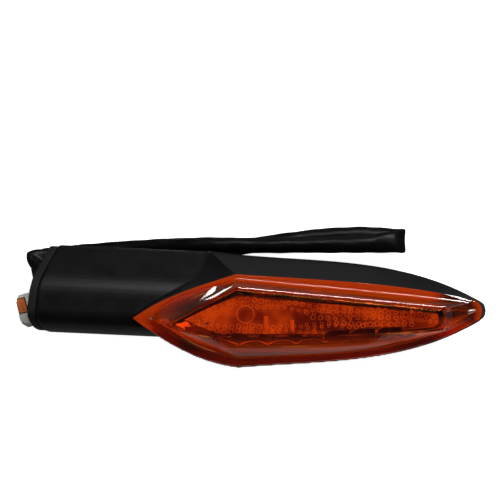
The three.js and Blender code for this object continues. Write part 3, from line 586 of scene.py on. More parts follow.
def tray_metallised():
    """Bright vacuum-coated plastic, a little hazy. Its walls that face -Y and the top of its rim are
    painted near black as shade.
    """
    nodes = Nodes("tray_metallised")
    haze = nodes.noise(1.1, detail=3, stretch=(0.05, 1, 1))
    silver = nodes.ramp(haze, [(0.38, (0.30, 0.17, 0.15)), (0.62, (0.85, 0.50, 0.45))])
    facing = nodes.add("NewGeometry").outputs["Normal"]
    turned = nodes.add("SeparateXYZ", {0: facing}).outputs["Y"]
    towards = nodes.span(turned, 0, 1, -0.15, -0.4)
    height = nodes.height()
    at_rim = nodes.span(height, 0, 1, (TRAY_TOP_Z - 0.5) * MM, (TRAY_TOP_Z - 0.1) * MM)
    # Painted shade: walls facing -Y and the top of the rim turn near black.
    painted_shade = nodes.math("MAXIMUM", towards, at_rim)
    nodes.bump((nodes.noise(0.5, detail=2), 0.01))
    nodes.set(Base_Color=nodes.blend(painted_shade, silver, (0.015, 0.012, 0.012, 1)), Metallic=0.2,
              Roughness=nodes.span(haze, 0.22, 0.4))
    return nodes.material


def board_mask():
    """Green solder mask with fine traces and pads showing through it."""
    nodes = Nodes("board_mask")
    cells = nodes.add("TexBrick", {
        "Vector": nodes.where, "Scale": 1 / (4.2 * MM), "Mortar Size": 0.035,
        "Color1": (0.004, 0.026, 0.012, 1), "Color2": (0.005, 0.032, 0.015, 1),
        "Mortar": (0.015, 0.06, 0.03, 1)})
    cloud = nodes.noise(5, detail=4)
    colour = nodes.blend(0.25, cells.outputs["Color"], (0.006, 0.04, 0.016, 1))
    nodes.set(Base_Color=colour, Roughness=nodes.span(cloud, 0.28, 0.42))
    nodes.bump((cells.outputs["Fac"], 0.02))
    return nodes.material


def led_package():
    """A white LED body with a round yellow phosphor window in its upper face."""
    nodes = Nodes("led_package")
    uv = nodes.add("TexCoord").outputs["Generated"]
    centred = nodes.add("VectorMath", {0: uv, 1: (0.5, 0.5, 1)}, operation="SUBTRACT")
    far = nodes.add("VectorMath", {0: centred.outputs[0]}, operation="LENGTH")
    disc = nodes.span(far.outputs["Value"], 0, 1, 0.33, 0.38)
    colour = nodes.ramp(disc, [(0.0, (0.85, 0.60, 0.08)), (1.0, (0.80, 0.78, 0.70))])
    fine = nodes.noise(0.2, detail=2)
    nodes.set(Base_Color=colour, Roughness=nodes.span(fine, 0.3, 0.5))
    nodes.bump((fine, 0.005))
    return nodes.material


sleeve_black = sleeve_vinyl()
amber = amber_glass()
optic_orange = optic_plastic()
tray_bright = tray_metallised()
board_green = board_mask()
led_white = led_package()

# ---- lead: the sleeve
# The sleeve is soft, so it is flat where it folds back on itself. Rows are: place along
# the route (None for its start), width direction, half width, half thickness, squareness.
lead_start = base_point(LEAD_EXIT, GAP + GASKET_THICK + GROMMET_NOSE + 0.15)
lead_straight = lead_start + BASE_NORMAL * 1.1
sleeve_line = route_curve([tuple(lead_start), tuple(lead_straight)] + SLEEVE_ROUTE)
FLAT_ON_Y = (0.0, 1.0, 0.0)
SLEEVE_FORM = [
    (None, (-0.5, -0.7, 0.5), 2.10, 2.10, 0.0),
    (0, (-0.8, -0.4, 0.3), 2.20, 1.95, 0.0),
    (2, (-1.0, 0.15, 0.0), 1.90, 1.50, 0.2),
    (3, (-0.63, 0.78, 0.0), 4.15, 1.00, 0.3),
    (4, (-0.2, 1.0, 0.0), 2.55, 1.40, 0.2),
    (5, (-0.05, 1.0, 0.0), 2.35, 1.70, 0.0),
    (7, FLAT_ON_Y, 2.25, 2.00, 0.0),
    (12, FLAT_ON_Y, 2.25, 2.00, 0.0),
    (14, FLAT_ON_Y, 2.70, 1.70, 0.0),
    (15, FLAT_ON_Y, 3.20, 1.35, 0.3),
    (16, FLAT_ON_Y, 3.50, 0.95, 0.6),
    (17, FLAT_ON_Y, 3.20, 1.35, 0.3),
    (18, FLAT_ON_Y, 2.70, 1.60, 0.0),
    (20, FLAT_ON_Y, 2.25, 2.00, 0.0),
    (len(SLEEVE_ROUTE) - 1, FLAT_ON_Y, 2.20, 2.05, 0.0)]
SLEEVE_SIDES, SLEEVE_RIPPLES = 28, 60


def share_along(index):
    """How far along the sleeve one point of its route is."""
    if index is None:
        return 0.0
    gaps = np.linalg.norm(sleeve_line - np.array(SLEEVE_ROUTE[index]), axis=1)
    lengths = arc_lengths(sleeve_line)
    return lengths[gaps.argmin()] / lengths[-1]


def sleeve_mesh():
    share = arc_lengths(sleeve_line) / arc_lengths(sleeve_line)[-1]
    keys = [share_along(row[0]) for row in SLEEVE_FORM]
    widths, depths, squares = (
        np.interp(share, keys, [row[k] for row in SLEEVE_FORM]) for k in (2, 3, 4))
    sides = np.column_stack([
        np.interp(share, keys, [row[1][k] for row in SLEEVE_FORM]) for k in range(3)])
    rings = []
    for i, (point, direction) in enumerate(zip(sleeve_line, tangents(sleeve_line))):
        side = unit(sides[i] - direction * (sides[i] @ direction))
        other = np.cross(side, direction)
        s = share[i] * SLEEVE_RIPPLES
        ring = []
        for a in full_turn(SLEEVE_SIDES):
            ripple = 1 + 0.018 * math.sin(2 * a + 3.1 * s) + 0.012 * math.sin(3 * a - 1.7 * s)
            along, across = (
                math.copysign(abs(v) ** (1 - squares[i]), v) for v in (math.cos(a), math.sin(a)))
            ring.append(point + ripple * (widths[i] * along * side + depths[i] * across * other))
        rings.append(ring)
    return loft("sleeve", rings)


sleeve = sleeve_mesh()
place(sleeve, sleeve_black, ["lead_sleeve"])


# ---- stem and base solids
def inset_corners(corners, inset):
    """The corners of a convex outline, moved inwards so that each side moves by the inset."""
    centre = sum(corners) / len(corners)
    moved = []
    for i, here in enumerate(corners):
        d_in = unit(here - corners[i - 1])
        d_out = unit(corners[(i + 1) % len(corners)] - here)
        middle = unit(np.array([-d_in[1] - d_out[1], d_in[0] + d_out[0]]))
        if middle @ (centre - here) < 0:
            middle = -middle
        stretch = abs(middle[0] * -d_out[1] + middle[1] * d_out[0])
        moved.append(here + middle * inset / stretch)
    return moved


def rounded_section(inset=0.0, steps=7):
    """The stem's section as Y-Z points, moved inwards by an inset."""
    corners = inset_corners([np.array(row[:2], float) for row in STEM_SECTION], inset)
    points = []
    for i, here in enumerate(corners):
        before, after = corners[i - 1] - here, corners[(i + 1) % len(corners)] - here
        room = 0.45 * min(np.linalg.norm(before), np.linalg.norm(after))
        radius = min(STEM_SECTION[i][2], room)
        points += corner_curve(here + unit(before) * radius, here, here + unit(after) * radius, steps)
    return np.array(points)[::-1]


def stem_bar(name, inset, start_x, end_x):
    section = rounded_section(inset)
    rings = [np.column_stack([np.full(len(section), x), section]) for x in (end_x, start_x)]
    bar = loft(name, rings)
    turn = Matrix.Translation((STEM_PIVOT_X, 0, 0)) @ Matrix.Rotation(STEM_TURN, 4, "Z")
    bar.data.transform(turn @ Matrix.Translation((-STEM_PIVOT_X, 0, 0)))
    return bar


def outside_base(outwards, size=120):
    """A large block that fills everything outside the base plane."""
    block = box("block", (size, size, size), (size / 2, 0, 0))
    turn = Vector((1, 0, 0)).rotation_difference(BASE_NORMAL).to_matrix().to_4x4()
    block.data.transform(Matrix.Translation(base_point((5, 14), outwards)) @ turn)
    return block


def base_slice(name, inset, inner, outer):
    bar = stem_bar(name, inset, -85, -41)
    cut(bar, outside_base(outer))
    return boolean(bar, outside_base(inner), "INTERSECT")


def base_drill(obj, spot, radius):
    start = base_point(spot, 14)
    return cut(obj, rod("drill", start, -BASE_NORMAL, [(0, radius), (28, radius)]))


# ---- housing
rim_leaf = inset_leaf(RIM, -HEAD_LIP)
HEAD_LEVELS = [
    (LAND, 0), (mix_leaf(LAND, SHOULDER, 0.62), 2), (SHOULDER, SHOULDER_Z),
    (mix_leaf(SHOULDER, RIDGE, 0.62), 9.6), (RIDGE, RIDGE_Z),
    (mix_leaf(RIDGE, rim_leaf, 0.12), 15.6), (rim_leaf, HEAD_RIM_Z)]


def head_leaf_at(z):
    for (low, z_low), (high, z_high) in zip(HEAD_LEVELS, HEAD_LEVELS[1:]):
        if z <= z_high:
            return mix_leaf(low, high, (z - z_low) / (z_high - z_low))
    return rim_leaf


HOUSING_VOXEL = 0.3


def housing_mesh():
    """Stem and head in one moulding, hollow, open at the front for the lens."""
    shell = stem_bar("housing_shell", 0, -85, STEM_END_X)
    rings = [leaf_ring(leaf, z) for leaf, z in HEAD_LEVELS]
    head = loft("head", rounded_rings(rings, 1.1, 5))
    boolean(shell, head, "UNION")
    mouth = inset_leaf(LENS, SEAT_LEDGE)
    levels = [(inset_leaf(head_leaf_at(z), HEAD_WALL), z) for z in (3, 7, 11, 14, 15.6, 19.4)]
    hollow = leaf_stack("hollow", levels + [(mouth, 20.6), (mouth, HEAD_RIM_Z + 1)])
    cut(shell, hollow)
    cut(shell, stem_bar("bore", STEM_WALL, -85, STEM_END_X - 3))
    cut(shell, outside_base(0))
    return soften(shell, HOUSING_VOXEL, 5)


place(housing_mesh(), housing_black, ["housing"])

# ---- lens
# Two narrow facets catch the light: one along the rim and one along the front edge.
# Rows run from the middle of the inner face, down inside, under the rim and up outside:
# outline, height, how far its edge is rounded, and how cloudy it is above and below.
# Above and below differ as painted light: the rim is cloudier above, where light falls on it, and the
# step is cloudier below, to brighten the lower bevel.
FACET, FACET_RISE = 0.34, 0.075
SIDE_WALL = 1.3
RIM_TOP_Z = LENS_RIM_Z + 0.1
FRONT_EDGE_Z = FRONT_Z - 0.3
LENS_PROFILE = [
    (inset_leaf(FRONT, 0.6), FRONT_Z - LENS_WALL, 0.3, 0.0, 0.0),
    (inset_leaf(STEP, SIDE_WALL), STEP_Z - 0.9, 0.4, 0.0, 0.0),
    (inset_leaf(LENS, SEAT_LEDGE), LENS_RIM_Z, 0.3, 0.5, 0.1),
    (inset_leaf(LENS, SEAT_LEDGE), LENS_BACK_Z, 0.1, 1.0, 0.1),
    (LENS, LENS_BACK_Z, 0.15, 1.0, 0.3),
    (LENS, LENS_RIM_Z, 0.15, 1.0, 0.1),
    (inset_leaf(CREASE, -FACET), RIM_TOP_Z, 0.06, 0.9, 0.1),
    (CREASE, RIM_TOP_Z + FACET_RISE, 0.06, 0.9, 0.3),
    (STEP, STEP_Z, 0.5, 0.35, 0.7),
    (inset_leaf(FRONT, -0.5 * FACET), FRONT_EDGE_Z, 0.08, 0.0, 0.05),
    (inset_leaf(FRONT, 0.5 * FACET), FRONT_EDGE_Z + FACET_RISE, 0.08, 0.0, 0.0),
]
LENS_CROWN = 0.25
LENS_AXIS_Y = -5
LENS_SPINE = ([-24, -5, 52], [-8, -4.8, -6.4])
# Both tips are solid, the inside of the right one has painted shade (less scatter and a dark tint), and
# the left bevel is clear.
LEFT_TIP_X, RIGHT_TIP_X, TIP_SHADE_FROM_X, TIP_SHADE_TO_X, LEFT_BEVEL_X = -27, 60.5, 50, 62, -5


def lens_rings(steps):
    """The lens's rings from the middle of its inner face round to the middle of its front.

    Each ring comes with its cloudiness above and below the lens's axis. The last value is
    the number of rings in the front.
    """
    rings = [leaf_ring(row[0], row[1]) for row in LENS_PROFILE]
    inner = crown_rings(rings[0], LENS_CROWN, LENS_SPINE)[::-1]
    outer = crown_rings(rings[-1], LENS_CROWN, LENS_SPINE)
    flat = [(0, 0.0, 0.0)]
    rows = flat * len(inner) + [row[2:] for row in LENS_PROFILE] + flat * len(outer)
    rings = inner + rings + outer
    out, cloud = [rings[0]], [rows[0][1:]]
    for i in range(1, len(rings) - 1):
        reach = rows[i][0]
        made = rounded_rings(rings[i - 1:i + 2], reach, steps)[1:-1] if reach else [rings[i]]
        out.extend(made)
        cloud.extend([rows[i][1:]] * len(made))
    return out + [rings[-1]], cloud + [rows[-1][1:]], len(outer)


def fade(values, start, width):
    """0 before the start, 1 past it by the width. A negative width runs the other way."""
    return np.clip((values - start) / width, 0, 1)


def lens_mesh(steps=4):
    """The lens, with two point attributes for its look: cloudy stretches, cloudier on the upper side as
    a painted glow, and stretches with a dark tint as painted shade.
    """
    rings, cloud, front_rings = lens_rings(steps)
    lens = loft("lens_shell", rings)
    x, y, _ = np.array(rings).reshape(-1, 3).T
    ring_size = len(rings[0])
    upper = fade(y, LENS_AXIS_Y - 2, 4)
    above, below = np.repeat(np.array(cloud), ring_size, axis=0).T
    tips = fade(x, LEFT_TIP_X, -3) + fade(x, RIGHT_TIP_X, 1.5)
    # Painted shade inside the right tip: less scatter there and a darker tint.
    tip_shade = fade(x, TIP_SHADE_FROM_X, 3) * fade(x, TIP_SHADE_TO_X, -1.5)
    low_tip = fade(x, TIP_SHADE_FROM_X, 4) * fade(y, LENS_AXIS_Y - 0.5, -1.5)
    # Painted glow: the lens is cloudier above its axis than below.
    cloudy = np.maximum(above * upper + below * (1 - upper), above * tips) * (1 - 0.9 * tip_shade)
    cloudy = np.maximum(cloudy, 0.7 * low_tip)
    number = np.repeat(np.arange(len(rings)), ring_size)
    last = len(rings) - 1 - front_rings
    bevel = (number > last - 4 * steps) & (number < last)
    cloudy *= 1 - 0.8 * bevel * fade(x, LEFT_BEVEL_X, -4) * upper
    front_edge = (number >= last - 4) & (number <= last)
    tip_shade *= fade(x, TIP_SHADE_FROM_X + 2.5, 1.5) * (1 - low_tip)
    # Painted shade: a dark tint along the upper front edge and inside the right tip.
    thick = np.maximum(front_edge * upper, 0.8 * tip_shade)
    for name, values in (("cloud_and_painted_glow", cloudy), ("painted_shade_edge", thick)):
        attribute = lens.data.attributes.new(name, "FLOAT", "POINT")
        attribute.data.foreach_set("value", values.astype(np.float32))
    return lens


place(lens_mesh(), amber, ["lens"])

# ---- inner optic
OPTIC_LEAF = ([(-19.4, -6.2), (-5, 0.4), (50.4, -4.5), (49.4, -8.3), (-9.2, -10.3)],
              [(0.3, 0.3), (0, 0.2), (0.9, 0.9), (1.9, 0.7), (0.4, 0.4)])
SKIRT_LEAF = ([(-18, -7), (-5, -1.5), (46, -5.6), (44.4, -7.8), (-6.6, -13.3)],
              [(0.3, 0.3), (0, 0.1), (0.8, 0.8), (3.6, 1.2), (1, 1)])
SKIRT_LOW_Z, SKIRT_TOP_Z = 24.2, 25.3
SCALLOP_PITCH, SCALLOP_START, SCALLOP_DEPTH = 7.9, -12.2, 1.5
FIN_X, FIN_REACH, FIN_TOP_Y, FIN_DEPTH, FIN_RISE = (22.6, 29.8, 37), 3.6, -9.1, 2.1, 0.06
OPTIC_LEGS = [(5.5, -6.8), (14.5, -6.8), (32.5, -5.6)]
OPTIC_RING, OPTIC_RING_RADIUS = (-2.5, -4.7), 2.4
OPTIC_BARS = [(3.1, -7.2, 4.1), (10.3, -7.9, 3.4)]
TABS = [(2.4, 1.6, 5.4), (22.4, -0.2, 5.4)]
DIMPLE_PITCH, DIMPLE_RADIUS, DIMPLE_SIDES = 1.9, 0.66, 14


def scallops(x, power):
    """0 at the evenly spaced cusps that the optic and the tray share, 1 between them."""
    return np.abs(np.sin((x - SCALLOP_START) * math.pi / SCALLOP_PITCH)) ** power


def ring_ridge(name, x, y, z, radius, thick, sides=48):
    """A raised ring with a rounded top."""
    angles = full_turn(sides)
    rings = []
    for a in full_turn(12):
        r, h = radius + thick * math.cos(a), z + thick * 0.7 * math.sin(a)
        rings.append([(x + r * math.cos(b), y + r * math.sin(b), h) for b in angles])
    rings.append(rings[0])
    return loft(name, rings[::-1], caps=False)


def fin_scoop(x):
    """Cuts one step from the optic's lower edge: a curved start, then a straight drop."""
    left, right, top = x - FIN_REACH, x + FIN_REACH - 0.25, FIN_TOP_Y + FIN_RISE * (x - FIN_X[0])
    low = top - 6
    outline = [(left, low), (right, low), (right, top)]
    outline += [(left + 3.4 * (1 - math.sin(a)), top - FIN_DEPTH * (1 - math.cos(a)))
                for a in np.linspace(0, math.pi / 2, 9)]
    return prism("scoop", outline, OPTIC_Z + 0.25, OPTIC_TOP + 1)


def optic_plate():
    """The plate, with a lower apron for the stepped fins."""
    plate = loft("plate", rounded_rings([
        leaf_ring(OPTIC_LEAF, OPTIC_Z), leaf_ring(OPTIC_LEAF, OPTIC_TOP),
        leaf_ring(inset_leaf(OPTIC_LEAF, 0.4), OPTIC_TOP)], 0.3))
    first, last = FIN_X[0] - FIN_REACH - 0.4, FIN_X[-1] + FIN_REACH + 0.4
    apron = [(first, -11.4), (last, -10.1), (last, -8), (first, -8)]
    boolean(plate, prism("apron", apron, OPTIC_Z + 0.02, OPTIC_TOP - 0.02), "UNION")
    for x in FIN_X:
        cut(plate, fin_scoop(x))
    return plate


def skirt():
    """A terrace below the plate whose long lower edge is a row of scallops."""
    rings = []
    for z, grow in ((SKIRT_LOW_Z, 0.0), (SKIRT_TOP_Z - 0.2, 0.0), (SKIRT_TOP_Z, 0.25)):
        ring = leaf_ring(inset_leaf(SKIRT_LEAF, grow), z)
        lower = fade(ring[:, 1], -8, -2) * fade(ring[:, 0], -14, 3)
        ring[:, 1] += SCALLOP_DEPTH * scallops(ring[:, 0], 0.6) * lower
        rings.append(ring)
    return loft("skirt", rings)


def skirt_lip():
    """A raised bead that follows the scallops."""
    edge = leaf_ring(inset_leaf(SKIRT_LEAF, 0.3), SKIRT_TOP_Z)
    lower = (edge[:, 1] < -8.2) & (edge[:, 0] > -12)
    edge[:, 1] += SCALLOP_DEPTH * scallops(edge[:, 0], 0.6)
    edge = edge[lower]
    return tube("lip", edge[np.argsort(edge[:, 0])], 0.22, 8)


def dimples():
    """Two rows of small uneven rings along the plate's edge, left out above the fins."""
    rings = []
    for row, shift in ((0.0, 0.0), (1.35, 0.5)):
        line = leaf_points(inset_leaf(OPTIC_LEAF, 0.9 + row), (60, 200, 12, 200, 60))
        lengths = arc_lengths(line)
        for k in range(int(lengths[-1] / DIMPLE_PITCH)):
            x, y = (np.interp((k + shift) * DIMPLE_PITCH, lengths, line[:, d]) for d in (0, 1))
            if y > FIN_TOP_Y + FIN_RISE * (x - FIN_X[0]) + 0.8 or x < FIN_X[0] - FIN_REACH - 1:
                size = DIMPLE_RADIUS * (1 + 0.25 * math.sin(12.9 * k + 4 * row))
                y += 0.3 * math.sin(7.3 * k + row)
                rings.append(ring_ridge("dimple", x, y, OPTIC_TOP, size * 0.8, 0.13, DIMPLE_SIDES))
    return rings


def bumps():
    """Three rows of small uneven rings over the right half of the plate."""
    rings = []
    for row, (y, first, last) in enumerate(((-3.9, 14, 45), (-5.6, 15.5, 47), (-7.3, 14, 45))):
        for x in np.arange(first, last, 2.1):
            spot = (x + 0.5 * (row % 2) + 0.3 * math.sin(9.1 * x),
                    y - 0.012 * (x - first) + 0.25 * math.sin(5.7 * x))
            size = 0.52 + 0.12 * math.sin(3.3 * x + row)
            rings.append(ring_ridge("bump", *spot, OPTIC_TOP, size, 0.13, DIMPLE_SIDES))
    return rings


def optic_mesh():
    parts = [optic_plate(), skirt(), skirt_lip()]
    foot, head = TRAY_FLOOR_Z + TRAY_WALL + GAP, OPTIC_Z + 0.3
    for x, y in OPTIC_LEGS:
        parts.append(box("leg", (1, 2.2, head - foot), (x, y, (head + foot) / 2)))
    parts.append(ring_ridge("ring", *OPTIC_RING, OPTIC_TOP, OPTIC_RING_RADIUS, 0.16))
    for x, y, length in OPTIC_BARS:
        parts.append(bevelled_box("bar", (1.2, length, 0.6), (x, y, OPTIC_TOP), 0.25))
    for x, y, length in TABS:
        parts.append(bevelled_box("tab", (length, 1.5, 0.8), (x, y, OPTIC_Z + 0.2), 0.15))
    parts.append(bevelled_box("end_block", (7.2, 2.4, 1.5), (-15.6, -9.2, OPTIC_TOP - 0.9), 0.2))
    parts += dimples() + bumps()
    return join("inner_optic_plate", parts)


place(optic_mesh(), optic_orange, ["inner_optic"])

# ---- reflector
CUP_DEPTH = 1.1
LED_ROW_X, LED_ROW_Y = (-8, 1, 10, 19, 28, 37), -3.4
SCREW_AT = [(-5, 3.4), (33.5, 1.8)]


def cup_ring(leaf, z, depth):
    """A leaf outline whose long edges swell outwards between evenly spaced cusps."""
    ring = leaf_ring(leaf, z)
    middle_y = np.interp(ring[:, 0], [-30, -5, 55], [-5, -4.5, -4])
    side = np.clip((ring[:, 1] - middle_y) / 2, -1, 1)
    inside = fade(ring[:, 0], -14, 4) * fade(ring[:, 0], 50, -4)
    ring[:, 1] += side * (scallops(ring[:, 0], 0.7) - 1) * depth * inside
    return ring


def tray_mesh():
    top_in, floor_in = inset_leaf(TRAY_TOP, TRAY_WALL), inset_leaf(TRAY_FLOOR, TRAY_WALL)
    inner = [(floor_in, TRAY_FLOOR_Z + TRAY_WALL, CUP_DEPTH),
             (mix_leaf(floor_in, top_in, 0.45), 18, CUP_DEPTH * 0.8),
             (mix_leaf(floor_in, top_in, 0.85), 20.4, CUP_DEPTH * 0.4),
             (top_in, TRAY_TOP_Z, 0)]
    outer = [(TRAY_TOP, TRAY_TOP_Z, 0), (TRAY_FLOOR, TRAY_FLOOR_Z, CUP_DEPTH * 0.4)]
    rings = [cup_ring(leaf, z, depth) for leaf, z, depth in inner + outer]
    tray = loft("reflector_tray", rings)
    for x in LED_ROW_X:
        cut(tray, box("window", (4.2, 4, 4), (x, LED_ROW_Y, TRAY_FLOOR_Z)))
    for x, y in SCREW_AT:
        cut(tray, rod("hole", (x, y, TRAY_FLOOR_Z - 1), (0, 0, 1), [(0, 2.4), (3, 2.4)]))
    return tray


place(tray_mesh(), tray_bright, ["reflector"])

# ---- base pieces
def base_holes(obj):
    """The holes for the grommet and for the threaded insert."""
    base_drill(obj, LEAD_EXIT, GROMMET_RADIUS + GAP)
    return base_drill(obj, INSERT_AT, INSERT_RADIUS + GAP)


def gasket_mesh():
    pad = base_holes(base_slice("base_pad", 0.35, GAP, GAP + GASKET_THICK))
    pip = rod("pip", base_point(PIP_AT, GASKET_THICK - 0.2), BASE_NORMAL,
              [(0, 1.15), (1.6, 1.1), (2.4, 1.35), (PIP_LENGTH, 1.0), (PIP_LENGTH + 0.35, 0.5)], 24)
    boolean(pad, pip, "UNION")
    return soften(pad, 0.16, 3)


def plate_mesh():
    plate = base_slice("base_cover", STEM_WALL + GAP, -PLATE_THICK, -0.4)
    return soften(base_holes(plate), 0.2, 3)


def grommet_mesh():
    """A bush with a tapered, ribbed nose that keeps the sleeve from bending sharply."""
    radius, inner = GROMMET_RADIUS, -PLATE_THICK - 0.6
    shoulder = GAP + GASKET_THICK - inner
    profile = [(0, GROMMET_BORE), (0, radius - 0.2), (0.2, radius), (shoulder, radius)]
    for k in range(3):
        start = shoulder + 0.15 + k * 0.85
        narrow = radius - 0.12 * (k + 1)
        profile += [(start, narrow - 0.28), (start + 0.18, narrow),
                    (start + 0.5, narrow), (start + 0.66, narrow - 0.28)]
    end = shoulder + GROMMET_NOSE
    profile += [(end, GROMMET_BORE + 0.28), (end, GROMMET_BORE), (0, GROMMET_BORE)]
    return rod("sleeve_grommet", base_point(LEAD_EXIT, inner), BASE_NORMAL, profile, 40)


place(gasket_mesh(), rubber_black, ["base_gasket"])
place(plate_mesh(), housing_black, ["base_plate"])
place(grommet_mesh(), rubber_black, ["lead_grommet"])

# ---- connector
NOSE = Vector((-67.6, 0.3, 0))
CONNECTOR_TURN = math.radians(15)
CONNECTOR_LENGTH, CONNECTOR_WIDTH, CONNECTOR_HEIGHT = 15, 8.6, 6.4
CAVITY_Y, CAVITY_SIZE, CAVITY_Z, SEAL_SEAT, SEAL_SEAT_X = 2, 2.4, 2.5, 3.1, 10.5
RETAINER_SIZE, RETAINER_AT = (2.2, 4, 2), (1.5, 1, 5.6)
from_connector = Matrix.Translation(NOSE) @ Matrix.Rotation(CONNECTOR_TURN, 4, "Z")


def connector_mesh():
    half, length, chamfer = CONNECTOR_WIDTH / 2, CONNECTOR_LENGTH, 1.4
    plan = [(0, -half + chamfer), (chamfer, -half), (length, -half), (length, half), (chamfer, half),
            (0, half - chamfer)]
    body = prism("connector_body", plan, 0, CONNECTOR_HEIGHT)
    rear = length - SEAL_SEAT_X + 1
    for y in (-CAVITY_Y, CAVITY_Y):
        cut(body, box("cavity", (2 * length, CAVITY_SIZE, CAVITY_SIZE), (length / 2, y, CAVITY_Z)))
        cut(body, box("seat", (rear, SEAL_SEAT, SEAL_SEAT), (SEAL_SEAT_X + rear / 2, y, CAVITY_Z)))
    x, y, z = RETAINER_AT
    slot_end = x + RETAINER_SIZE[0] / 2 + GAP
    floor = z - RETAINER_SIZE[2] / 2 - GAP
    slot = box("slot", (slot_end + 2, RETAINER_SIZE[1] + 2 * GAP, 4),
               ((slot_end - 2) / 2, y, floor + 2))
    cut(body, slot)
    for side in (-1, 1):
        for start in (4.2, 8.4):
            cut(body, box("groove", (3.2, 0.5, 3.6), (start + 1.6, side * half, 3.3)))
    cut(body, box("collar_line", (0.35, 12, 9), (12.4, 0, 10.6)))
    bevel(body, 0.22, 3, 35)
    return apply_modifiers(body)


connector = connector_mesh()
connector.data.transform(from_connector)
place(connector, nylon, ["connector_housing"])

# ---- carried-over CAD nodes
# Rows are: look, width of the rounded edges, nodes.
CAD_LOOKS = [
    (seal_black, 0.1, ["lens_seal"]),
    (board_green, 0.12, ["circuit_board"]),
    (orange_pbt, 0.18, ["terminal_retainer"]),
    (nylon, 0.2, ["connector_latch"]),
    (steel, 0.15, ["mounting_insert"]),
    (steel, 0.12, ["board_screw_1", "board_screw_2"]),
    (ceramic, 0.1, ["resistor_1", "resistor_2"]),
    (ceramic, 0.15, ["protection_diode", "driver_chip"]),
    (brass, 0.12, ["terminal_live", "terminal_ground"]),
    (blue_seal, 0.08, ["wire_seal_live", "wire_seal_ground"]),
    (led_white, 0.15, [f"led_{number}" for number in range(1, 7)]),
]
for look, width, node_names in CAD_LOOKS:
    for node_name in node_names:
        dress(cad[node_name], look)
        bevel(cad[node_name], width * MM, 2, 35)

# ---- wires
WIRE_RADIUS = 0.65
STEM_WIRE_ROUTE = [(-46, 8, 14.4), (-36, 7, 14.4), (-26, 6, 14.4), (-17, 5, 14.6)]
BOARD_FACE_Z = 11.9
# Rows are: name, side of the lead, look, material slot, pad on the board.
WIRES = [("live", 1, wire_green, "wire_green", (-10, 2.6)),
         ("ground", -1, wire_black, "wire_black", (-10, 0))]
sleeve_end = Vector(SLEEVE_ROUTE[-1])
sleeve_direction = (sleeve_end - Vector(SLEEVE_ROUTE[-2])).normalized()
sleeve_side = Vector((-sleeve_direction.y, sleeve_direction.x, 0)).normalized()


def lead_wire(name, side):
    """From inside the sleeve's end to its terminal in the connector."""
    start = sleeve_end - sleeve_direction * 2 - sleeve_side * side * (WIRE_RADIUS + 0.25)
    near = start + sleeve_direction * 3.5
    mouth = from_connector @ Vector((CONNECTOR_LENGTH + 1, side * CAVITY_Y, CAVITY_Z))
    end = from_connector @ Vector((SEAL_SEAT_X + 2, side * CAVITY_Y, CAVITY_Z))
    return tube(f"lead_wire_{name}", route_curve([start, near, mouth, end], 10), WIRE_RADIUS)


def stem_wire(name, side, pad):
    """From the grommet along the stem to its pad on the board."""
    across = Vector((0, side * (WIRE_RADIUS + 0.2), 0))
    depths = (GASKET_THICK + GROMMET_NOSE - 0.4, -1, -PLATE_THICK - 2.5)
    route = [base_point(LEAD_EXIT, depth) + across for depth in depths]
    route += [Vector((x, y + across.y, z)) for x, y, z in STEM_WIRE_ROUTE]
    route += [Vector((pad[0] - 3, pad[1], BOARD_FACE_Z + 2)), Vector((*pad, BOARD_FACE_Z + 1))]
    return tube(f"stem_wire_{name}", route_curve(route, 8), WIRE_RADIUS)


for wire_name, side, wire_look, wire_slot, pad in WIRES:
    wire = lead_wire(wire_name, side)
    place(wire, wire_look, [f"wire_{wire_name}"])
    inner = stem_wire(wire_name, side, pad)
    place(inner, wire_look, [f"inner_wire_{wire_name}"])

# ---- floor and light
# The floor glows for the camera like a light table. Round the object its glow is uneven:
# bright in front, dim close behind and on the left, and brighter again far behind.
FLOOR_SIZE = 6.0
FLOOR_GLOW_SEEN, FLOOR_GLOW_FRONT, FLOOR_GLOW_SHADE, FLOOR_GLOW_FAR = 0.95, 0.55, 0.0, 1.0
DIM_LEAN = 0.2
# A short bright stripe behind the object gives the lens's left bevel its white streak.
GLINT_X, GLINT_LEAN, GLINT_HALF_WIDTH = 11.4, 0.839, 1.5
GLINT_FROM_Y, GLINT_TO_Y, GLINT_GLOW = 38, 58, 8.0


def glint_glow(nodes, x, y):
    across = nodes.math("ADD", x, nodes.math("MULTIPLY", y, GLINT_LEAN))
    across = nodes.math("ABSOLUTE", nodes.math("SUBTRACT", across, GLINT_X * MM))
    glow = nodes.math("MULTIPLY", nodes.math("LESS_THAN", across, GLINT_HALF_WIDTH * MM), GLINT_GLOW)
    glow = nodes.math("MULTIPLY", glow, nodes.math("GREATER_THAN", y, GLINT_FROM_Y * MM))
    return nodes.math("MULTIPLY", glow, nodes.math("LESS_THAN", y, GLINT_TO_Y * MM))


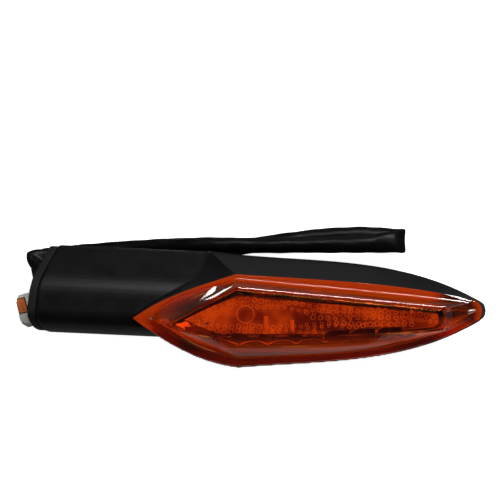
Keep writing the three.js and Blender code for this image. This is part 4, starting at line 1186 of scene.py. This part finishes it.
def floor_material():
    nodes = Nodes("floor_paper")
    for_camera = nodes.add("LightPath").outputs["Is Camera Ray"]
    paper = nodes.ramp(nodes.noise(180), [(0.3, (0.92, 0.92, 0.92)), (0.7, (0.95, 0.95, 0.95))])
    # Painted shade: only the camera sees the paper white; to all other rays it is dark grey.
    nodes.set(Base_Color=nodes.blend(for_camera, (0.12, 0.12, 0.12, 1), paper), Roughness=0.9,
              Emission_Color=(1, 1, 1, 1))
    axes = nodes.add("SeparateXYZ", {0: nodes.where})
    x, y = axes.outputs["X"], axes.outputs["Y"]
    near = nodes.span(y, FLOOR_GLOW_FRONT, FLOOR_GLOW_SHADE, -0.04, 0.0)
    sideways = nodes.math("ADD", x, nodes.math("MULTIPLY", y, DIM_LEAN))
    right_side = nodes.span(sideways, 0, 1, -0.02, 0.0)
    far = nodes.math("MULTIPLY", nodes.span(y, 0, FLOOR_GLOW_FAR, 0.06, 0.25), right_side)
    round_about = nodes.math("MAXIMUM", nodes.math("MAXIMUM", near, far), glint_glow(nodes, x, y))
    seen = nodes.math("MULTIPLY", for_camera, FLOOR_GLOW_SEEN)
    nodes.set(Emission_Strength=nodes.math("MAXIMUM", seen, round_about))
    return nodes.material


floor = new_object("floor", [(-FLOOR_SIZE, -FLOOR_SIZE, 0), (FLOOR_SIZE, -FLOOR_SIZE, 0),
                             (FLOOR_SIZE, FLOOR_SIZE, 0), (-FLOOR_SIZE, FLOOR_SIZE, 0)], [(0, 1, 2, 3)])
dress(floor, floor_material())

world = bpy.data.worlds.new("studio")
scene.world = world
world.use_nodes = True
background = world.node_tree.nodes["Background"]
background.inputs["Color"].default_value = (1, 1, 1, 1)
background.inputs["Strength"].default_value = 0.05


def area_light(name, azimuth, elevation, distance, size, power, target=(0, 0, 0.015)):
    """A soft box seen from the target at an azimuth (0 is +Y, 90 is +X) and elevation."""
    data = bpy.data.lights.new(name, "AREA")
    data.shape = "RECTANGLE"
    data.size, data.size_y = size
    data.energy = power
    obj = add_object(name, data)
    a, e = math.radians(azimuth), math.radians(elevation)
    offset = Vector((math.sin(a) * math.cos(e), math.cos(a) * math.cos(e), math.sin(e))) * distance
    obj.location = Vector(target) + offset
    obj.rotation_euler = offset.to_track_quat("Z", "Y").to_euler()


area_light("key", 0, 54, 1.0, (0.84, 0.07), 11, (0.38, 0, 0.015))
area_light("back", 0, 6, 1.2, (1.2, 0.25), 1.3, (0.5, 0, 0.015))
area_light("left", -90, 28, 1.0, (0.8, 0.6), 0.8)
area_light("right", 90, 28, 1.0, (0.8, 0.6), 0.3)
scene.view_settings.view_transform = "Standard"
